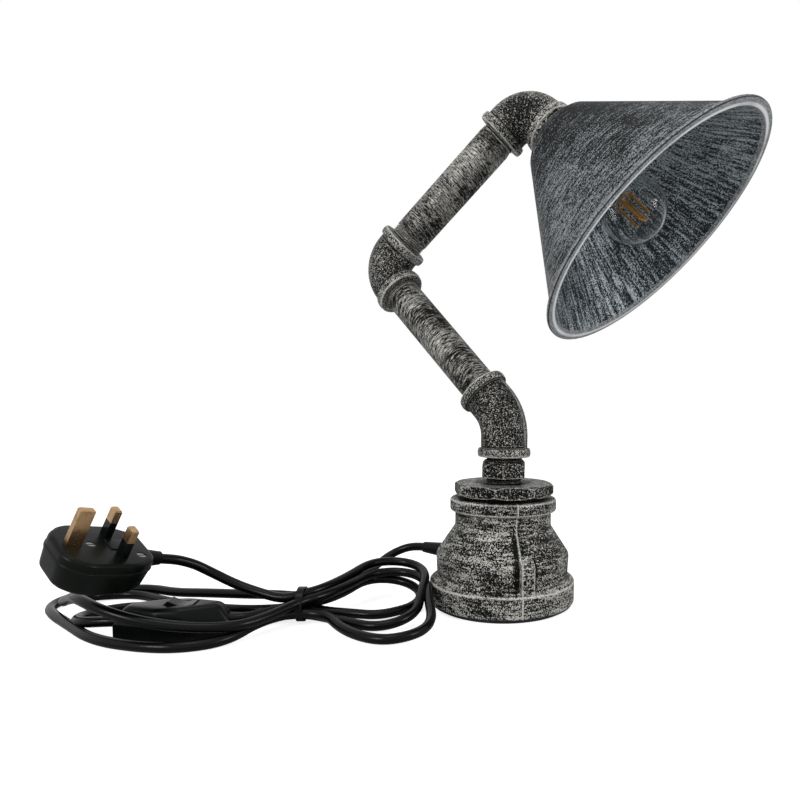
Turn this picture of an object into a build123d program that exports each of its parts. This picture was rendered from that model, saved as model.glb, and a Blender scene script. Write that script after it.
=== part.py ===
from build123d import *
import math
import os

# An industrial table lamp screwed together from 3/4 inch malleable iron pipe fittings.
# Millimetres, +Z up. The origin is the centre of the rubber pad's underside, on the table.
# The pipe bends away to the left and back, then returns over the base and carries the shade.

# ---------------------------------------------------------------- driving dimensions
# base: a reducing socket standing on its large end
pad_thickness = 1.5
pad_radius = 49.0
plate_thickness = 1.5
plate_radius = 51.0
plate_screw_circle_radius = 47.4
plate_screw_radius = 1.6
plate_screw_length = 9.0
plate_screw_count = 3

socket_band_radius = 52.35
socket_band_top = 18.0
socket_barrel_radius = 48.0
socket_barrel_bottom = 22.0
socket_barrel_top = 37.5
socket_neck_radius = 34.6
socket_neck_bottom = 57.5
socket_top_band_radius = 38.2
socket_top_band_bottom = 67.7
socket_top = 77.3
socket_wall = 4.4
socket_bottom_bore_radius = socket_barrel_radius - socket_wall
socket_bottom_bore_depth = 24.0
socket_top_bore_radius = 29.2
socket_top_bore_depth = 20.0
band_rounding = 1.2

seam_azimuth = -79.0
seam_height = 0.5
seam_width_angle = 0.9
lug_azimuth = -73.8
lug_width = 9.0
lug_top = 41.0
lug_radius = 51.2

# octagon-headed reducing bush in the top of the socket
bush_across_flats = 66.8
bush_head_bottom = 79.6
bush_head_thickness = 8.4
bush_turn = 31.9

# 3/4 inch pipe thread, pipe and fittings
thread_radius = 13.2
thread_clearance = 0.05
thread_depth = 15.0
thread_engagement = 12.5
pipe_radius = 13.45
pipe_bore_radius = 10.8
face_gap = 0.5
passage_radius = 11.0
casting_radius = 16.7
fitting_band_radius = 19.1
fitting_band_width = 6.3
elbow_reach = 28.5
elbow_bend_radius = 19.0
bend_reach = 28.5
bend_bend_radius = 34.0
elbow_rib_height = 0.5
elbow_rib_width = 1.4

# hexagon nipple between the bush and the first bend
nipple_across_flats = 30.2
nipple_hex_thickness = 12.5
nipple_hex_flats = 8.0
nipple_hex_top_radius = 13.8
nipple_turn = 24.6
nipple_lower_thread_showing = 3.8
nipple_thread_showing = 2.2

# how the arm stands at rest
lean = 45.0
arm_azimuth = 147.0
upper_turn = 10.0
shade_turn = -8.0
lower_pipe_run = 159.0
upper_pipe_run = 160.5

# shade, clamped on a hollow nipple in the top elbow
shade_nipple_length = 29.0
shade_locknut_thickness = 5.5
shade_locknut_across_flats = 36.0
shade_backnut_thickness = 5.0
shade_wall = 1.0
shade_crown_radius = 23.0
shade_shoulder_radius = 29.0
shade_shoulder_drop = 5.5
shade_mouth_radius = 91.4
shade_depth = 107.0
shade_lip_radius = 95.6
shade_lip_thickness = 2.8

# lampholder and bulb, on the shade's axis
stud_radius = 5.0
stud_bore_radius = 3.7
stud_length = 14.0
holder_cap_radius = 19.0
holder_cap_height = 13.0
holder_skirt_radius = 20.5
holder_skirt_height = 29.0
holder_wall = 1.6
screw_shell_radius = 13.55
screw_shell_wall = 0.3
screw_shell_length = 20.0
insert_height = 7.0
contact_width = 5.0
holder_screw_radius = 1.5
bulb_globe_radius = 22.5
bulb_neck_radius = 11.6
bulb_length = 70.0
bulb_cap_radius = 13.1
bulb_cap_length = 24.0
bulb_glass_wall = 0.8
filament_radius = 0.9
filament_length = 20.0
filament_circle_radius = 6.0
filament_count = 4

# cord and its entry at the back left of the base
cord_radius = 3.2
gland_azimuth = 147.0
gland_height = 32.0
gland_root_radius = 5.6
gland_tip_radius = 4.1
gland_length = 22.0
gland_flange_radius = 7.6
gland_flange_thickness = 2.0
gland_spot_depth = 0.6
gland_thread_radius = 5.0
gland_nut_across_flats = 15.0
gland_nut_thickness = 4.0
gland_wall = 6.0
cord_clearance = 0.1

# rocker switch in the cord
switch_place = (-205.0, -60.0, 0.0)
switch_azimuth = 3.0
switch_length = 68.0
switch_width = 29.0
switch_tip_width = 11.0
switch_straight = 17.0
switch_base_height = 9.0
switch_cover_height = 10.5
switch_cover_taper = 14.0
switch_wall = 2.0
switch_side_wall = 5.4
switch_end_block = 9.0
switch_screw_place = (16.0, -8.6)
switch_screw_radius = 1.1
switch_screw_head_radius = 2.0
switch_screw_length = 12.5
rocker_length = 15.0
rocker_width = 10.0
rocker_crest = 5.5
rocker_dip = 3.4
rocker_keel = 5.0
rocker_swing_radius = 9.3
rocker_tilt = 9.0
rocker_pivot_radius = 1.5
rocker_pin_reach = 1.2
rocker_clearance = 0.3
rocker_offset = 4.0
bearing_length = 6.0
bearing_width = 3.0
pivot_running_clearance = 0.05

# three-pin plug lying tilted on the hank
plug_place = (-235.1, -82.5, 60.9)
plug_towards_earth = (-0.564, -0.803, 0.195)
plug_face_normal = (0.444, -0.095, 0.891)
plug_front = 23.5
plug_back = 27.5
plug_half_width = 22.8
plug_front_half_width = 12.5
plug_back_half_width = 14.0
plug_side_front = 14.0
plug_side_back = -14.0
plug_base_depth = 7.5
plug_cover_depth = 13.0
plug_wall = 2.4
plug_face_thickness = 3.4
plug_shoulder_rounding = 2.6
pin_pitch = 22.2
earth_pin_place = 14.6
earth_pin_size = (8.0, 4.0, 22.7)
line_pin_size = (4.0, 6.35, 17.7)
pin_sleeve_length = 9.5
pin_sleeve_wall = 0.5
pin_root = 7.0
fuse_radius = 3.15
fuse_length = 25.4
fuse_clip_wall = 1.0
fuse_clip_length = 5.0
fuse_centre = (0.0, -13.4)
plug_screw_radius = 2.6
plug_shank_radius = 1.6
plug_screw_head = 2.1
plug_screw_sink = 0.4
plug_centre_screw_place = (4.7, -0.6)
plug_grip_screw_place = (-19.1, 10.5)
plug_pillar_radius = 3.4
plug_centre_screw_reach = 6.0
plug_grip_screw_reach = -1.0
plug_cord_drop = 9.0
plug_cord_inside = 12.0
grip_length = 5.5
grip_width = 25.0
grip_offset = 2.0
grip_thickness = 2.0
sleeve_root_radius = 5.2
sleeve_tip_radius = 4.2
sleeve_inside = 4.5
sleeve_outside = 11.0

# the cord is put up in a hank of figure-eight turns, drawn together by a tie
hank_loop_radius = 8.0
hank_far_loop_radius = 7.0
waist_radius = 10.0
waist_middle = (-134.0, -38.0, 11.4)
waist_length = 20.0
tie_width = 4.5
tie_thickness = 1.2
base_clearance = 1.6
switch_clearance = 0.4

# seating gap between parts of one body that only touch
seat = 0.05

os.makedirs("parts", exist_ok=True)


def write(shape, node):
    """Writes one named piece of the lamp."""
    export_step(shape, f"parts/{node}.step")


def turned(corners):
    """A solid of revolution about Z from (radius, height, rounding) corners."""
    points = [(radius, 0, height) for radius, height, rounding in corners]
    outline = FilletPolyline(*points, radius=[corner[2] for corner in corners], close=True)
    return revolve(make_face(outline.edges()), axis=Axis.Z)


def cylinder(radius, bottom, top):
    """An upright cylinder on the Z axis between two heights."""
    return Pos(0, 0, bottom) * extrude(Circle(radius), top - bottom)


def tube(outer, inner, bottom, top):
    """An upright tube on the Z axis between two heights."""
    return cylinder(outer, bottom, top) - cylinder(inner, bottom - 1, top + 1)


def hexagon(across_flats, bottom, top):
    """A hexagon prism on the Z axis whose corners are chamfered like a turned nut."""
    corner_radius = across_flats / math.sqrt(3)
    prism = Pos(0, 0, bottom) * extrude(RegularPolygon(corner_radius, 6), top - bottom)
    bevel = corner_radius - across_flats / 2
    crown = turned([
        (0, bottom, 0), (across_flats / 2, bottom, 0), (corner_radius, bottom + bevel / 2, 0),
        (corner_radius, top - bevel / 2, 0), (across_flats / 2, top, 0), (0, top, 0),
    ])
    return prism & crown


def rod_along(path, radius):
    """A round rod swept along a path of lines and tangent arcs."""
    start = Plane(origin=path @ 0, z_dir=path % 0)
    return sweep(start * Circle(radius), path=path)


# ---------------------------------------------------------------- the arm's centreline
up = Vector(0, 0, 1)
lean_direction = Vector(1, 0, 0).rotate(Axis.Z, arm_azimuth)
lower_axis = up.rotate(Axis.Y, lean).rotate(Axis.Z, arm_azimuth)
upper_axis = up.rotate(Axis.Y, lean - 90).rotate(Axis.Z, arm_azimuth)
upper_axis = upper_axis.rotate(Axis((0, 0, 0), lower_axis), upper_turn)
down_across = -up + upper_axis * up.dot(upper_axis)
shade_axis = down_across.normalized().rotate(Axis((0, 0, 0), upper_axis), shade_turn)

plate_top = pad_thickness + plate_thickness
bush_top = bush_head_bottom + bush_head_thickness
nipple_hex_bottom = bush_top + nipple_lower_thread_showing
nipple_hex_top = nipple_hex_bottom + nipple_hex_thickness
bend_face = nipple_hex_top + nipple_thread_showing
bend_centre = Vector(0, 0, bend_face + bend_reach)
elbow_centre = bend_centre + lower_axis * lower_pipe_run
top_centre = elbow_centre + upper_axis * upper_pipe_run

bend_frame = Plane(origin=bend_centre, x_dir=lean_direction, z_dir=up)
lower_frame = Plane(origin=bend_centre, x_dir=lean_direction.cross(up), z_dir=lower_axis)
elbow_frame = Plane(origin=elbow_centre, x_dir=upper_axis, z_dir=lower_axis)
upper_frame = Plane(origin=elbow_centre, x_dir=lower_axis, z_dir=upper_axis)
top_frame = Plane(origin=top_centre, x_dir=shade_axis, z_dir=upper_axis)
head_frame = Plane(origin=top_centre, x_dir=upper_axis, z_dir=shade_axis)

print("bend centre", bend_centre, "lower axis", lower_axis)
print("elbow centre", elbow_centre, "upper axis", upper_axis)
print("top centre", top_centre, "shade axis", shade_axis)


# ---------------------------------------------------------------- base
def socket_outline(extra):
    """Corners of the reducing socket's outside, standing out by extra all round."""
    return [
        (0, plate_top, 0),
        (socket_band_radius + extra, plate_top, 1.0),
        (socket_band_radius + extra, socket_band_top + extra, band_rounding),
        (socket_barrel_radius - 0.8 + extra, socket_barrel_bottom + extra, 1.5),
        (socket_barrel_radius + extra, socket_barrel_top, 7.0),
        (socket_neck_radius + extra, socket_neck_bottom, 5.0),
        (socket_neck_radius + extra, socket_top_band_bottom - extra, 1.0),
        (socket_top_band_radius + extra, socket_top_band_bottom + 0.8 - extra, 2.0),
        (socket_top_band_radius + extra, socket_top, 2.0),
        (0, socket_top, 0),
    ]


def socket_hollow():
    """The inside of the reducing socket: a threaded bore at each end and a cone between."""
    return turned([
        (0, plate_top - 1, 0),
        (socket_bottom_bore_radius, plate_top - 1, 0),
        (socket_bottom_bore_radius, plate_top + socket_bottom_bore_depth, 0),
        (socket_barrel_radius - 8.0, socket_barrel_top, 6.0),
        (socket_top_bore_radius - 1.5, socket_neck_bottom - 2.0, 4.0),
        (socket_top_bore_radius - 1.5, socket_top - socket_top_bore_depth, 0),
        (socket_top_bore_radius, socket_top - socket_top_bore_depth, 0),
        (socket_top_bore_radius, socket_top + 1, 0),
        (0, socket_top + 1, 0),
    ])


def casting_seam():
    """The raised line that the mould's parting leaves down the socket."""
    outline = socket_outline(seam_height)
    points = [(radius, 0, height) for radius, height, rounding in outline]
    wire = FilletPolyline(*points, radius=[corner[2] for corner in outline], close=True)
    wedge = revolve(make_face(wire.edges()), axis=Axis.Z, revolution_arc=seam_width_angle)
    return Rot(0, 0, seam_azimuth) * wedge


def socket_lug():
    """The flat upright lug that bridges the step between the bottom band and the barrel."""
    inner = socket_bottom_bore_radius + 1.0
    profile = FilletPolyline(
        (inner, 0, plate_top + 4), (lug_radius, 0, plate_top + 4), (lug_radius, 0, lug_top - 4),
        (socket_barrel_radius - 0.5, 0, lug_top), (inner, 0, lug_top),
        radius=[0, 0, 2.0, 0, 0], close=True,
    )
    side = make_face(profile.edges())
    bar = extrude(side, lug_width / 2, both=True)
    return Rot(0, 0, lug_azimuth) * bar


plate_screws = PolarLocations(plate_screw_circle_radius, plate_screw_count, start_angle=30)
screw_hole = cylinder(plate_screw_radius, 0, plate_top + plate_screw_length)
screw_head_recess = turned([
    (0, pad_thickness, 0), (plate_screw_radius + plate_thickness, pad_thickness, 0),
    (plate_screw_radius, plate_top, 0), (0, plate_top, 0),
])

pad = turned([
    (0, 0, 0), (pad_radius - 0.6, 0, 0), (pad_radius, 0.6, 0), (pad_radius, pad_thickness, 0),
    (0, pad_thickness, 0),
])
write(pad, "base_pad")

plate = cylinder(plate_radius, pad_thickness, plate_top)
plate = plate - [place * screw_hole for place in plate_screws]
plate = plate - [place * screw_head_recess for place in plate_screws]
write(plate, "base_plate")

screw = screw_head_recess + cylinder(plate_screw_radius, pad_thickness, plate_top + plate_screw_length - 1)
write(Compound([place * screw for place in plate_screws]), "base_plate_screws")

gland_direction = Vector(1, 0, 0).rotate(Axis.Z, gland_azimuth)
gland_seat_radius = socket_barrel_radius
gland_frame = Plane(
    origin=gland_direction * gland_seat_radius + Vector(0, 0, gland_height),
    x_dir=up, z_dir=gland_direction,
)
gland_hole = gland_frame * cylinder(gland_thread_radius + seat, -20, 5)
gland_spot_face = gland_frame * cylinder(gland_flange_radius + 0.4, -gland_spot_depth, 8)
gland_inside = -gland_spot_depth - gland_wall
gland_nut_radius = gland_nut_across_flats / math.sqrt(3)
gland_nut_face = gland_frame * cylinder(gland_nut_radius + 0.5, gland_inside - 16, gland_inside)

socket = turned(socket_outline(0)) + casting_seam() + socket_lug()
socket = socket - socket_hollow() - gland_hole - gland_spot_face - gland_nut_face
socket = socket - [place * screw_hole for place in plate_screws]
write(socket, "base_reducer")

# octagon-headed bush: its thread seats in the socket, its head stands a little above the band
octagon_radius = bush_across_flats / 2 / math.cos(math.pi / 8)
octagon = Rot(0, 0, bush_turn) * RegularPolygon(octagon_radius, 8)
bush_head = Pos(0, 0, bush_head_bottom) * extrude(octagon, bush_head_thickness)
bush_crown = turned([
    (0, bush_head_bottom, 0), (bush_across_flats / 2 + 0.4, bush_head_bottom, 0),
    (octagon_radius, bush_head_bottom + 1.5, 0), (octagon_radius, bush_top - 1.5, 0),
    (bush_across_flats / 2 + 0.4, bush_top, 0), (0, bush_top, 0),
])
bush_thread = cylinder(
    socket_top_bore_radius - thread_clearance, socket_top - socket_top_bore_depth + 2, bush_head_bottom
)
bush = (bush_head & bush_crown) + bush_thread
bush = bush - cylinder(thread_radius + thread_clearance, 0, bush_top + 1)
write(bush, "reducing_bushing")

nipple_bottom = bush_top - thread_engagement
nipple_top = bend_face + thread_engagement
nipple_corner_radius = nipple_across_flats / math.sqrt(3)
nipple_hexagon = Rot(0, 0, nipple_turn) * hexagon(nipple_across_flats, nipple_hex_bottom, nipple_hex_top + 5)
nipple_crown = turned([
    (0, nipple_hex_bottom, 0), (nipple_corner_radius + 1, nipple_hex_bottom, 0),
    (nipple_corner_radius + 1, nipple_hex_bottom + nipple_hex_flats, 0),
    (nipple_corner_radius, nipple_hex_bottom + nipple_hex_flats, 0),
    (nipple_hex_top_radius, nipple_hex_top, 0), (0, nipple_hex_top, 0),
])
nipple = cylinder(thread_radius, nipple_bottom, nipple_top) + (nipple_hexagon & nipple_crown)
nipple = nipple - cylinder(passage_radius, nipple_bottom - 1, nipple_top + 1)
write(nipple, "hex_nipple")


# ---------------------------------------------------------------- pipe fittings
def fitting_band(face_height):
    """The reinforcing band round a fitting's mouth, in the mouth's own frame."""
    return turned([
        (pipe_radius, face_height - fitting_band_width, 0),
        (fitting_band_radius - 0.5, face_height - fitting_band_width, band_rounding),
        (fitting_band_radius, face_height - fitting_band_width / 2, 0),
        (fitting_band_radius - 0.5, face_height, band_rounding),
        (pipe_radius, face_height, 0),
    ])


def elbow(angle, reach, bend_radius):
    """A banded elbow: one mouth faces -Z, the other is turned by angle from +Z towards +X."""
    turn = math.radians(angle)
    outlet = Vector(math.sin(turn), 0, math.cos(turn))
    path = FilletPolyline((0, 0, -reach), (0, 0, 0), outlet * reach, radius=bend_radius)
    inlet_mouth = Plane(origin=(0, 0, 0), x_dir=(1, 0, 0), z_dir=(0, 0, -1))
    outlet_mouth = Plane(origin=(0, 0, 0), x_dir=(0, 1, 0), z_dir=outlet)
    body = rod_along(path, casting_radius)
    rib_radius = casting_radius + elbow_rib_height
    rib_face = Plane(origin=path @ 0, x_dir=(1, 0, 0), z_dir=path % 0)
    rib_section = rib_face * Rectangle(2 * rib_radius, elbow_rib_width)
    body = body + sweep(rib_section, path=path)
    for mouth in (inlet_mouth, outlet_mouth):
        body = body + mouth * fitting_band(reach)
    body = body - rod_along(path, passage_radius)
    bore = cylinder(thread_radius + thread_clearance, reach - thread_depth, reach + 1)
    for mouth in (inlet_mouth, outlet_mouth):
        body = body - mouth * bore
    return body


def pipe(start, end):
    """A length of pipe between two fitting faces, threaded into both of them."""
    body = cylinder(pipe_radius, start + face_gap, end - face_gap)
    threads = cylinder(thread_radius, start - thread_engagement, end + thread_engagement)
    bore = cylinder(pipe_bore_radius, start - thread_engagement - 1, end + thread_engagement + 1)
    return body + threads - bore


write(bend_frame * elbow(lean, bend_reach, bend_bend_radius), "elbow_45")
write(lower_frame * pipe(bend_reach, lower_pipe_run - elbow_reach), "lower_pipe")
write(elbow_frame * elbow(90, elbow_reach, elbow_bend_radius), "elbow_mid")
write(upper_frame * pipe(elbow_reach, upper_pipe_run - elbow_reach), "upper_pipe")
write(top_frame * elbow(90, elbow_reach, elbow_bend_radius), "elbow_top")

# ---------------------------------------------------------------- shade and its fixing
locknut_bottom = elbow_reach + seat
shade_crown = locknut_bottom + shade_locknut_thickness + seat
nipple_start = elbow_reach - thread_engagement
shade_nipple_end = nipple_start + shade_nipple_length
backnut_bottom = shade_crown + shade_wall + seat
backnut_top = backnut_bottom + shade_backnut_thickness
nut_bore = cylinder(thread_radius + thread_clearance, 0, 200)

shade_nipple = tube(thread_radius, passage_radius, nipple_start, shade_nipple_end)
write(head_frame * shade_nipple, "shade_nipple")

locknut = hexagon(shade_locknut_across_flats, locknut_bottom, locknut_bottom + shade_locknut_thickness)
write(head_frame * (locknut - nut_bore), "shade_locknut")

backnut = hexagon(shade_locknut_across_flats, backnut_bottom, backnut_top)
write(head_frame * (backnut - nut_bore), "shade_backnut")

shade_rim = shade_crown + shade_depth
shade_shoulder = shade_crown + shade_shoulder_drop
lip_start = shade_rim - shade_lip_thickness
cone_angle = math.atan2(shade_mouth_radius - shade_shoulder_radius, shade_rim - shade_shoulder)
wall_across = shade_wall / math.cos(cone_angle)
shade = turned([
    (thread_radius + 0.2, shade_crown, 0),
    (shade_crown_radius, shade_crown, 3.0),
    (shade_shoulder_radius, shade_shoulder, 3.0),
    (shade_mouth_radius, shade_rim - shade_lip_thickness, 0),
    (shade_lip_radius, shade_rim - shade_lip_thickness, 1.0),
    (shade_lip_radius, shade_rim, 1.0),
    (shade_mouth_radius - wall_across, shade_rim, 0.4),
    (shade_shoulder_radius - wall_across, shade_shoulder + shade_wall * 0.6, 2.0),
    (shade_crown_radius - 0.5, shade_crown + shade_wall, 2.0),
    (thread_radius + 0.2, shade_crown + shade_wall, 0),
])
write(head_frame * shade, "shade")

# ---------------------------------------------------------------- lampholder
# a steel bush in the end of the shade nipple carries a hollow stud, and the holder screws on that
holder_bottom = max(backnut_top, shade_nipple_end) + 0.3
bush_seat = shade_nipple_end - 6.0
holder_bush = tube(passage_radius - seat, stud_radius + seat, bush_seat, shade_nipple_end)
write(head_frame * holder_bush, "holder_bush")

stud = tube(stud_radius, stud_bore_radius, bush_seat, bush_seat + stud_length)
write(head_frame * stud, "holder_stud")

cap_top = holder_bottom + holder_cap_height
holder_cap = turned([
    (stud_radius + seat, holder_bottom, 0),
    (9.0, holder_bottom, 1.0),
    (holder_cap_radius, holder_bottom + 6.0, 4.0),
    (holder_cap_radius, cap_top, 0),
    (holder_cap_radius - holder_wall, cap_top, 0),
    (holder_cap_radius - holder_wall, holder_bottom + 7.0, 3.0),
    (9.0, holder_bottom + holder_wall + 0.6, 0),
    (stud_radius + seat, holder_bottom + holder_wall + 0.6, 0),
])
write(head_frame * holder_cap, "lampholder_cap")

skirt_bottom = cap_top + seat
skirt_top = skirt_bottom + holder_skirt_height
holder_skirt = turned([
    (holder_cap_radius - holder_wall, skirt_bottom, 0),
    (holder_skirt_radius, skirt_bottom, 0.6),
    (holder_skirt_radius, skirt_bottom + 4.0, 0.6),
    (holder_skirt_radius - 1.5, skirt_bottom + 5.0, 0.6),
    (holder_skirt_radius - 2.5, skirt_top, 0.8),
    (screw_shell_radius + 1.2, skirt_top, 0.4),
    (screw_shell_radius + 1.2, skirt_bottom + insert_height + 1.0, 0),
    (holder_cap_radius - holder_wall, skirt_bottom + insert_height, 0),
])
write(head_frame * holder_skirt, "lampholder_skirt")

insert_bottom = skirt_bottom
insert_top = insert_bottom + insert_height - seat
insert_radius = holder_cap_radius - holder_wall - seat
insert = cylinder(insert_radius, insert_bottom, insert_top)
terminal_holes = Locations((8.5, 0, 0), (-8.5, 0, 0))
insert = insert - [place * cylinder(2.2, insert_bottom - 1, insert_bottom + 4.0) for place in terminal_holes]
write(head_frame * insert, "lampholder_insert")

shell_bottom = insert_top + seat
screw_shell = tube(
    screw_shell_radius + screw_shell_wall, screw_shell_radius, shell_bottom, shell_bottom + screw_shell_length
)
screw_shell = screw_shell + tube(screw_shell_radius + screw_shell_wall, 9.0, shell_bottom, shell_bottom + 0.4)
write(head_frame * screw_shell, "lampholder_screw_shell")

contact_foot = Pos(0, 0, shell_bottom + 0.2) * Box(12, contact_width, 0.4)
contact_riser = Pos(0, 0, shell_bottom + 1.5) * cylinder(2.6, -1.1, 1.1)
write(head_frame * (contact_foot + contact_riser), "lampholder_contact")

holder_screws = [
    place * (cylinder(holder_screw_radius, insert_bottom - 2.0, insert_bottom + 3.5)
             + cylinder(holder_screw_radius + 0.6, insert_bottom - 3.5, insert_bottom - 2.0))
    for place in terminal_holes
]
write(head_frame * Compound(holder_screws), "lampholder_screws")

# ---------------------------------------------------------------- bulb
bulb_bottom = shell_bottom + 3.0
bulb_cap_top = bulb_bottom + bulb_cap_length
globe_centre = bulb_bottom + bulb_length - bulb_globe_radius


def globe(radius, neck_radius, bottom):
    """The round end of the bulb and its neck, as a solid of revolution."""
    neck_join = globe_centre - math.sqrt(radius**2 - neck_radius**2) + 1.0
    ball = Pos(0, 0, globe_centre) * Sphere(radius)
    neck = cylinder(neck_radius, bottom, neck_join + 3.0)
    flare = turned([
        (0, bulb_cap_top + 0.5, 0), (neck_radius, bulb_cap_top + 0.5, 0),
        (radius * 0.83, globe_centre - radius * 0.55, 0), (0, globe_centre - radius * 0.55, 0),
    ])
    return ball + neck + flare


glass = globe(bulb_globe_radius, bulb_neck_radius, bulb_cap_top - 6.0)
glass = glass - globe(bulb_globe_radius - bulb_glass_wall, bulb_neck_radius - bulb_glass_wall, bulb_cap_top - 8.0)
write(head_frame * glass, "bulb_glass")

bulb_cap = turned([
    (0, bulb_bottom, 0), (4.8, bulb_bottom, 0.6), (5.5, bulb_bottom + 1.5, 0), (9.5, bulb_bottom + 3.5, 0),
    (bulb_cap_radius, bulb_bottom + 6.0, 0.8), (bulb_cap_radius, bulb_cap_top, 0.5),
    (bulb_neck_radius + seat, bulb_cap_top, 0), (bulb_neck_radius + seat, bulb_cap_top - 7.0, 0),
    (0, bulb_cap_top - 7.0, 0),
])
write(head_frame * bulb_cap, "bulb_cap")

stem_top = globe_centre - filament_length / 2 - 1.0
stem = turned([
    (0, bulb_cap_top - 7.0 + seat, 0), (bulb_neck_radius - bulb_glass_wall - 2 * seat, bulb_cap_top - 7.0 + seat, 0),
    (bulb_neck_radius - bulb_glass_wall - 2 * seat, bulb_cap_top - 3.0, 2.0), (3.2, bulb_cap_top + 3.0, 3.0),
    (3.2, stem_top, 1.2), (0, stem_top, 0),
])
write(head_frame * stem, "bulb_stem")

filament = cylinder(filament_radius, stem_top + 0.5, stem_top + 0.5 + filament_length)
filament_ring = PolarLocations(filament_circle_radius, filament_count, start_angle=20)
lower_spider = tube(filament_circle_radius + 0.4, filament_circle_radius - 0.4, stem_top + seat, stem_top + 0.8)
support_wire = cylinder(0.45, stem_top + seat, stem_top + 2.0 + filament_length)
spokes = [Rot(0, 0, 20 + 360 / filament_count * k) * Pos(filament_circle_radius / 2, 0, stem_top + 0.4)
          * Box(filament_circle_radius, 0.5, 0.5) for k in range(filament_count)]
top_spokes = [Pos(0, 0, filament_length + 0.6) * spoke for spoke in spokes]
filaments = [place * filament for place in filament_ring]
filament_set = filaments[0].fuse(*filaments[1:], lower_spider, support_wire, *spokes, *top_spokes)
write(head_frame * filament_set, "bulb_filaments")

# ---------------------------------------------------------------- cord entry
gland_body = turned([
    (cord_radius + cord_clearance, gland_inside - gland_nut_thickness - 2, 0),
    (gland_thread_radius, gland_inside - gland_nut_thickness - 2, 0.5),
    (gland_thread_radius, -gland_spot_depth, 0),
    (gland_flange_radius, -gland_spot_depth, 0),
    (gland_flange_radius, gland_flange_thickness - gland_spot_depth, 0.6),
    (gland_root_radius, gland_flange_thickness, 0.5),
    (gland_tip_radius, gland_length, 0.4),
    (cord_radius + cord_clearance, gland_length, 0),
])
write(gland_frame * gland_body, "cord_gland")

gland_nut = hexagon(gland_nut_across_flats, gland_inside - seat - gland_nut_thickness, gland_inside - seat)
gland_nut = gland_nut - cylinder(gland_thread_radius + seat, -30, 0)
write(gland_frame * gland_nut, "cord_gland_nut")

# ---------------------------------------------------------------- lead inside the pipes
lead_radius = cord_radius
gland_point = Vector(0, 0, gland_height) + gland_direction * (gland_seat_radius - 11.0)
base_lead_path = FilletPolyline(
    gland_point + gland_direction * (11.0 + gland_length - 2.1), gland_point - gland_direction * 10.0,
    (0, 0, gland_height + 18.0), (0, 0, bend_face - 0.1),
    radius=[16.0, 22.0],
)
write(rod_along(base_lead_path, lead_radius), "lead_in_base")

bend_lead_path = FilletPolyline(
    bend_centre - up * bend_reach, bend_centre, bend_centre + lower_axis * bend_reach, radius=bend_bend_radius
)
write(rod_along(bend_lead_path, lead_radius), "lead_in_bend")

lower_lead_path = FilletPolyline(
    bend_centre + lower_axis * (bend_reach + 0.1), elbow_centre,
    elbow_centre + upper_axis * elbow_reach, radius=elbow_bend_radius,
)
write(rod_along(lower_lead_path, lead_radius), "lead_in_lower_pipe")

upper_lead_path = FilletPolyline(
    elbow_centre + upper_axis * (elbow_reach + 0.1), top_centre,
    top_centre + shade_axis * (holder_bottom + 4.0), radius=elbow_bend_radius,
)
write(rod_along(upper_lead_path, lead_radius), "lead_in_upper_pipe")


# ---------------------------------------------------------------- rocker switch in the cord
def switch_outline(shrink):
    """The switch body's boat-shaped outline, drawn in by shrink all round."""
    half_length = switch_length / 2 - shrink
    half_width = switch_width / 2 - shrink
    tip = switch_tip_width / 2 - shrink * 0.6
    straight = switch_straight / 2
    points = [
        (half_length, tip), (straight, half_width), (-straight, half_width), (-half_length, tip),
        (-half_length, -tip), (-straight, -half_width), (straight, -half_width), (half_length, -tip),
    ]
    roundings = [2.0, 14.0, 14.0, 2.0, 2.0, 14.0, 14.0, 2.0]
    return make_face(FilletPolyline(*points, radius=roundings, close=True).edges())


switch_frame = Plane(
    origin=switch_place, x_dir=Vector(1, 0, 0).rotate(Axis.Z, switch_azimuth), z_dir=(0, 0, 1)
)
switch_top = switch_base_height + switch_cover_height
switch_roof = switch_top - switch_wall
pivot_height = switch_roof - rocker_pivot_radius - 0.4

cord_tunnel = Pos(0, 0, switch_base_height) * Rot(0, 90, 0) * Cylinder(
    cord_radius + cord_clearance, switch_length + 2
)
switch_cavity = Pos(0, 0, switch_wall) * extrude(switch_outline(switch_side_wall), switch_roof - switch_wall)
for side in (1, -1):
    end_middle = side * (switch_length - switch_end_block) / 2
    switch_cavity = switch_cavity - Pos(end_middle, 0, switch_base_height) * Box(switch_end_block, 40, 40)

switch_screw = cylinder(switch_screw_radius, 0.4, 0.4 + switch_screw_length) + turned([
    (0, 0.4, 0), (switch_screw_head_radius, 0.4, 0),
    (switch_screw_radius, 0.4 + switch_screw_head_radius - switch_screw_radius, 0),
    (0, 0.4 + switch_screw_head_radius - switch_screw_radius, 0),
])
switch_screw_hole = cylinder(switch_screw_radius + seat, -1, 1 + switch_screw_length) + turned([
    (0, -1, 0), (switch_screw_head_radius + seat, -1, 0), (switch_screw_head_radius + seat, 0.4, 0),
    (switch_screw_radius + seat, 0.4 + switch_screw_head_radius - switch_screw_radius, 0),
    (0, 0.4 + switch_screw_head_radius - switch_screw_radius, 0),
])
screw_x, screw_y = switch_screw_place
switch_screw_places = Locations((screw_x, screw_y), (-screw_x, -screw_y))
switch_screw_holes = [place * switch_screw_hole for place in switch_screw_places]

switch_base = extrude(switch_outline(0), switch_base_height)
switch_base = switch_base - switch_cavity - cord_tunnel - switch_screw_holes
write(switch_frame * switch_base, "switch_base")

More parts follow.
